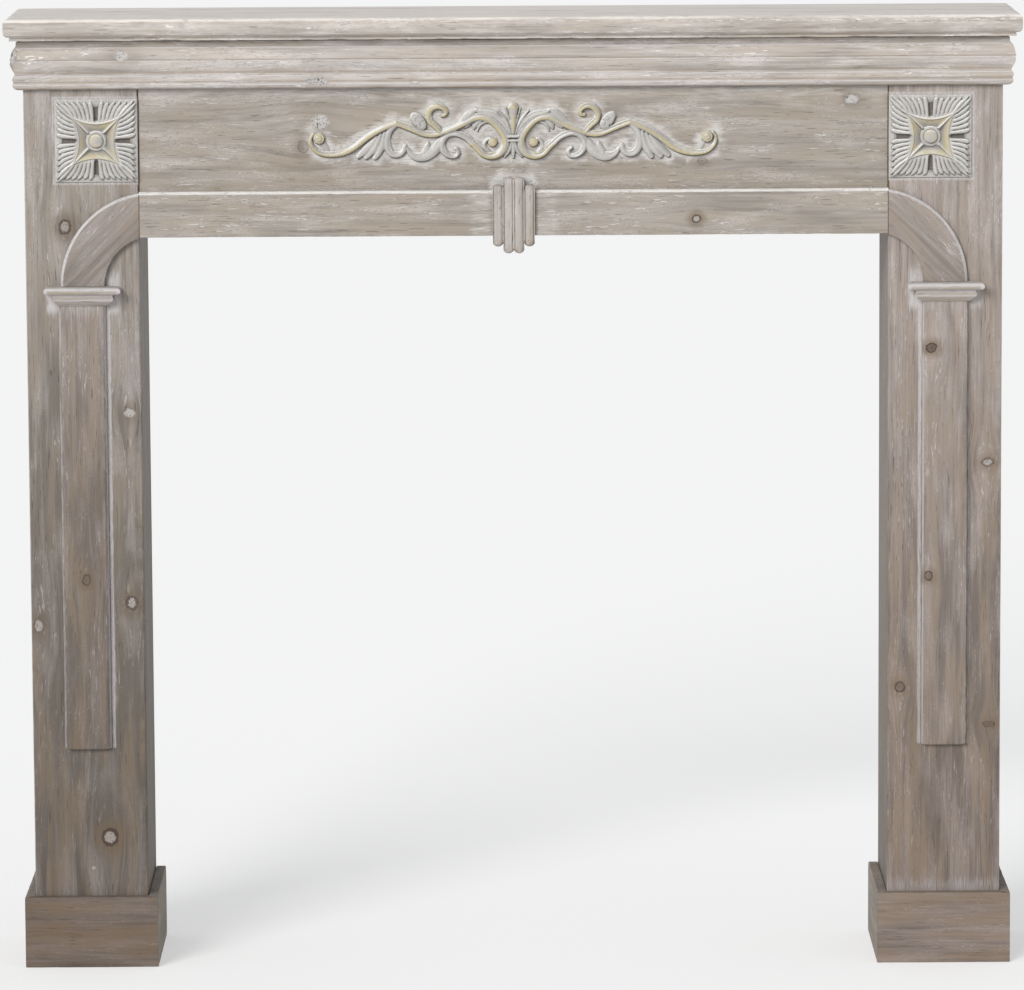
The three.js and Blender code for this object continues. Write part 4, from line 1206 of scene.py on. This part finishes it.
def frieze_wash_and_painted_light(points):
    """White build-up on the frieze round the carving, round the keystone's head and along the rail, and
    painted light under the cornice, where the cornice's shadow falls."""
    x, z = points[:, 0], points[:, 2]
    lines = np.concatenate([stroke_line(np.array(s[0], float), s[1], s[2], 3.0)[0] for s in STROKES])
    lines = np.concatenate([lines, lines * [-1, 1]]) + [0, SCROLL_Z]
    near = (abs(x) < 270) & (points[:, 1] < Y_FRIEZE + 1)
    away = np.full(len(x), 99.0)
    for chunk in np.array_split(np.flatnonzero(near), 40):
        gap = points[chunk][:, None, [0, 2]] - lines
        away[chunk] = np.sqrt((gap**2).sum(-1).min(-1))
    ragged = noise(points, (12, 9, 5), 71) * 6 + noise(points, (3.5, 3, 2.2), 73) * 4
    carving_halo = rise(27, 6, away + ragged * 1.3) * (0.8 + 0.5 * noise(points, (40, 20, 14), 74))
    key = np.hypot(np.maximum(abs(x) - 16, 0), np.maximum(z - (Z_RAIL_TOP + 10), 0))
    key_halo = rise(24, 6, key + ragged) * 1.3
    rail_line = rise(5, 1, z - Z_RAIL_TOP + ragged * 0.4) * 0.5
    # Painted light: the frieze is painted paler under the cornice, where the cornice's shadow falls.
    painted_light_under_cornice = rise(26, 2, CORNICE[4] - z) * 0.6
    on_face = points[:, 1] < Y_FRIEZE + 1
    return np.maximum.reduce([carving_halo, key_halo, rail_line, painted_light_under_cornice]) * on_face


# The scroll's hollow values are painted shade and its painted_highlight values a painted highlight.
piece("scroll", scroll, ["scroll_ornament"], "carved_wood", carving, 50,
      **{key: from_plan(scroll_marks, key) for key in ("crest", "hollow", "gilt", "painted_highlight")})
round_carving = (((-252, 252, 1.6),), (), ((SCROLL_Z - 40, SCROLL_Z + 36, 1.6),))
frieze = rounded_block(FRIEZE, 0, 72, 0.8, (6, 8, 6), round_carving, chips=0.6)
piece("frieze", frieze, ["frieze_board"], "limed_fir", frieze_finish, lime=frieze_wash_and_painted_light)

bevel = ARCH_BEVEL
rail_outline = rounded(
    [(RAIL[3], RAIL[4]), (RAIL[3], RAIL[5]), (RAIL[2] + bevel, RAIL[5]), (RAIL[2], RAIL[5] - bevel),
     (RAIL[2], RAIL[4])], [0.3, 0.3, 0.9, 0.9, 1.0])
rail = worn_run(rail_outline, RAIL[0], RAIL[1], 3.0, lambda y, z, x: (x, y, z), 81, chips=0.8)
piece("rail", rail, ["rail_board"], "limed_fir", rail_finish)

piece("reeded_keystone", keystone_surface(), ["keystone"], "limed_fir", key_finish, 60)

rosette, rosette_marks = rosette_surface()
arch_outline = rounded(
    [(ARCH_OUTER, Y_LEG - JOINT), (ARCH_OUTER, Y_BAND + bevel * 0.8), (ARCH_OUTER - bevel, Y_BAND),
     (ARCH_INNER, Y_BAND), (ARCH_INNER, Y_LEG - JOINT)], [0.2, 0.6, 0.6, 0.8, 0.2], 5.0)
arch_stop = np.arccos((LEG_IN - ARCH_CENTRE) / arch_outline[:, 0])


def arch_surface():
    """Quarter ring: a point of the outline at radius r turns from level to where it meets the leg's
    edge."""
    stations = np.linspace(0, 1, 60)
    grid = carried(arch_outline, 0 * arch_stop, arch_stop, stations,
                   lambda r, y, t: (ARCH_CENTRE + r * np.cos(t), y, Z_ARCH + r * np.sin(t)))
    return shell(aged(grid, outward(grid), bend(arch_outline)[None], 91, chips=0.4))


def capital_profile():
    """Inset at the ends, inset at the front and height: two rounds over a cavetto, from the solid's
    section."""
    section = [(0.1, 0), (0.14, 0.02), (0.42, 0.2), (0.53, 0.3), (0.56, 0.4), (0.5, 0.48), (0.48, 0.5),
               (0.48, 0.58),
               (0.72, 0.6), (0.92, 0.64), (1, 0.74), (1, 0.84), (0.93, 0.95), (0.8, 1), (0.5, 1)]
    line = np.array(section)
    for _ in range(2):
        line = np.concatenate([line[:1], quartered(line[:-1], line[1:]), line[-1:]])
    side = (CAPITAL[1] - CAPITAL[0]) / 2 - BAND_HALF
    front = Y_BAND - CAPITAL[2]
    inset = 1 - line[:, 0]
    return np.stack([inset * side, inset * front, CAPITAL[4] + line[:, 1] * (CAPITAL[5] - CAPITAL[4])], 1)


def strip_surface():
    """Board carried upright: its inner flank slopes out to the leg, and its foot and head ends are
    eased."""
    inner, outer = STRIP[0], STRIP[1]
    back = Y_LEG - JOINT
    outline = rounded([(inner - 0.6, back), (inner + 1.6, Y_BAND), (outer, Y_BAND), (outer, back)],
                      [0.2, 1.4, 1.4, 0.2], 5.0)
    run = spread(STRIP[4] + 2.5, STRIP[5], 4.0)
    eased = np.linspace(0, 1, 6)[:-1]
    stations = np.concatenate([STRIP[4] + 2.5 * eased, run])
    drawn = np.concatenate([2.5 * (1 - np.sqrt(1 - (1 - eased) ** 2)), 0 * run])
    middle = np.array([(inner + outer) / 2, back])
    reach = outline - middle
    shrink = 1 - drawn[:, None, None] / np.array([BAND_HALF, back - Y_BAND])
    spot = middle + reach[None] * shrink
    grid = np.stack([spot[..., 0], spot[..., 1], stations[:, None] + 0 * spot[..., 0]], -1)
    return shell(aged(grid, outward(grid), bend(outline)[None], 93, chips=1.0))


capital = wrapped(capital_profile(), CAPITAL[0], CAPITAL[1], CAPITAL[2], CAPITAL[3], 1.6, 92, chips=0.7)
arch = arch_surface()
strip = strip_surface()
leg_front = rounded_block(LEG, 2, 94, 1.2, (11, 8, 4), chips=1.4)
plinth = extent("plinth_front_right")
plinth_thick = Y_LEG - plinth[2]


def plinth_board(kind, seed):
    """One of the plinth's three boards, mitred: the outline is its thickness by its height, and the ends
    of the run move with the place in the thickness."""
    inner = plinth_thick - JOINT
    outline = rounded([(0, 0), (inner, 0), (inner, plinth[5]), (0, plinth[5])], [0.6, 0.3, 0.6, 1.2])
    deep = outline[:, 0]
    front = plinth[2]
    if kind == "front":
        ends = plinth[0] + deep, plinth[1] - deep

        def place(d, z, x):
            return x, front + d, z
    else:
        node = extent(f"plinth_{kind}_right")
        edge, inwards = (node[1], -1) if kind == "outer" else (node[0], 1)
        ends = front + JOINT + deep, Y_WALL

        def place(d, z, y):
            return edge + inwards * d, y, z
    return worn_run(outline, *ends, 3.0, place, seed, chips=1.0)


def make_leg(side, mark, finishes):
    """All the boards and mouldings of one leg: the surfaces are those of the right leg, mirrored for the
    left."""
    def turned(surface):
        return surface if mark == 1 else mirrored(surface)

    def board(name, surface, node, key, smooth=35):
        piece(f"{name}_{side}", turned(surface), [f"{node}_{side}"], "limed_fir", finishes[key], smooth)

    board("leg", leg_front, "leg_front", "leg")
    board("strip_board", strip, "strip", "strip")
    board("arch", arch, "arch_band", "arch")
    board("moulded_capital", capital, "capital", "capital", 50)
    board("plinth_front_board", plinth_board("front", 95), "plinth_front", "plinth")
    board("plinth_outer_board", plinth_board("outer", 96), "plinth_outer", "plinth_side")
    board("plinth_inner_board", plinth_board("inner", 97), "plinth_inner", "plinth_side")
    piece(f"carved_rosette_{side}", turned(rosette), [f"rosette_{side}"], "carved_wood", carving, 50,
          crest=lambda points: 0.6 + 0 * points[:, 0],
          **{key: beside(rosette[0], values, mark) for key, values in rosette_marks.items()})
    for node in (f"leg_outer_{side}", f"leg_inner_{side}"):
        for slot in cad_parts[node].material_slots:
            slot.material = leg_sides


make_leg("left", -1, {
    "leg": leg_left, "strip": strip_left_finish, "arch": arch_left_finish, "capital": capital_finish,
    "plinth": plinth_left_finish, "plinth_side": plinth_side_finish,
})
make_leg("right", 1, {
    "leg": leg_right, "strip": strip_right_finish, "arch": arch_right_finish, "capital": capital_finish,
    "plinth": plinth_right_finish, "plinth_side": plinth_side_finish,
})
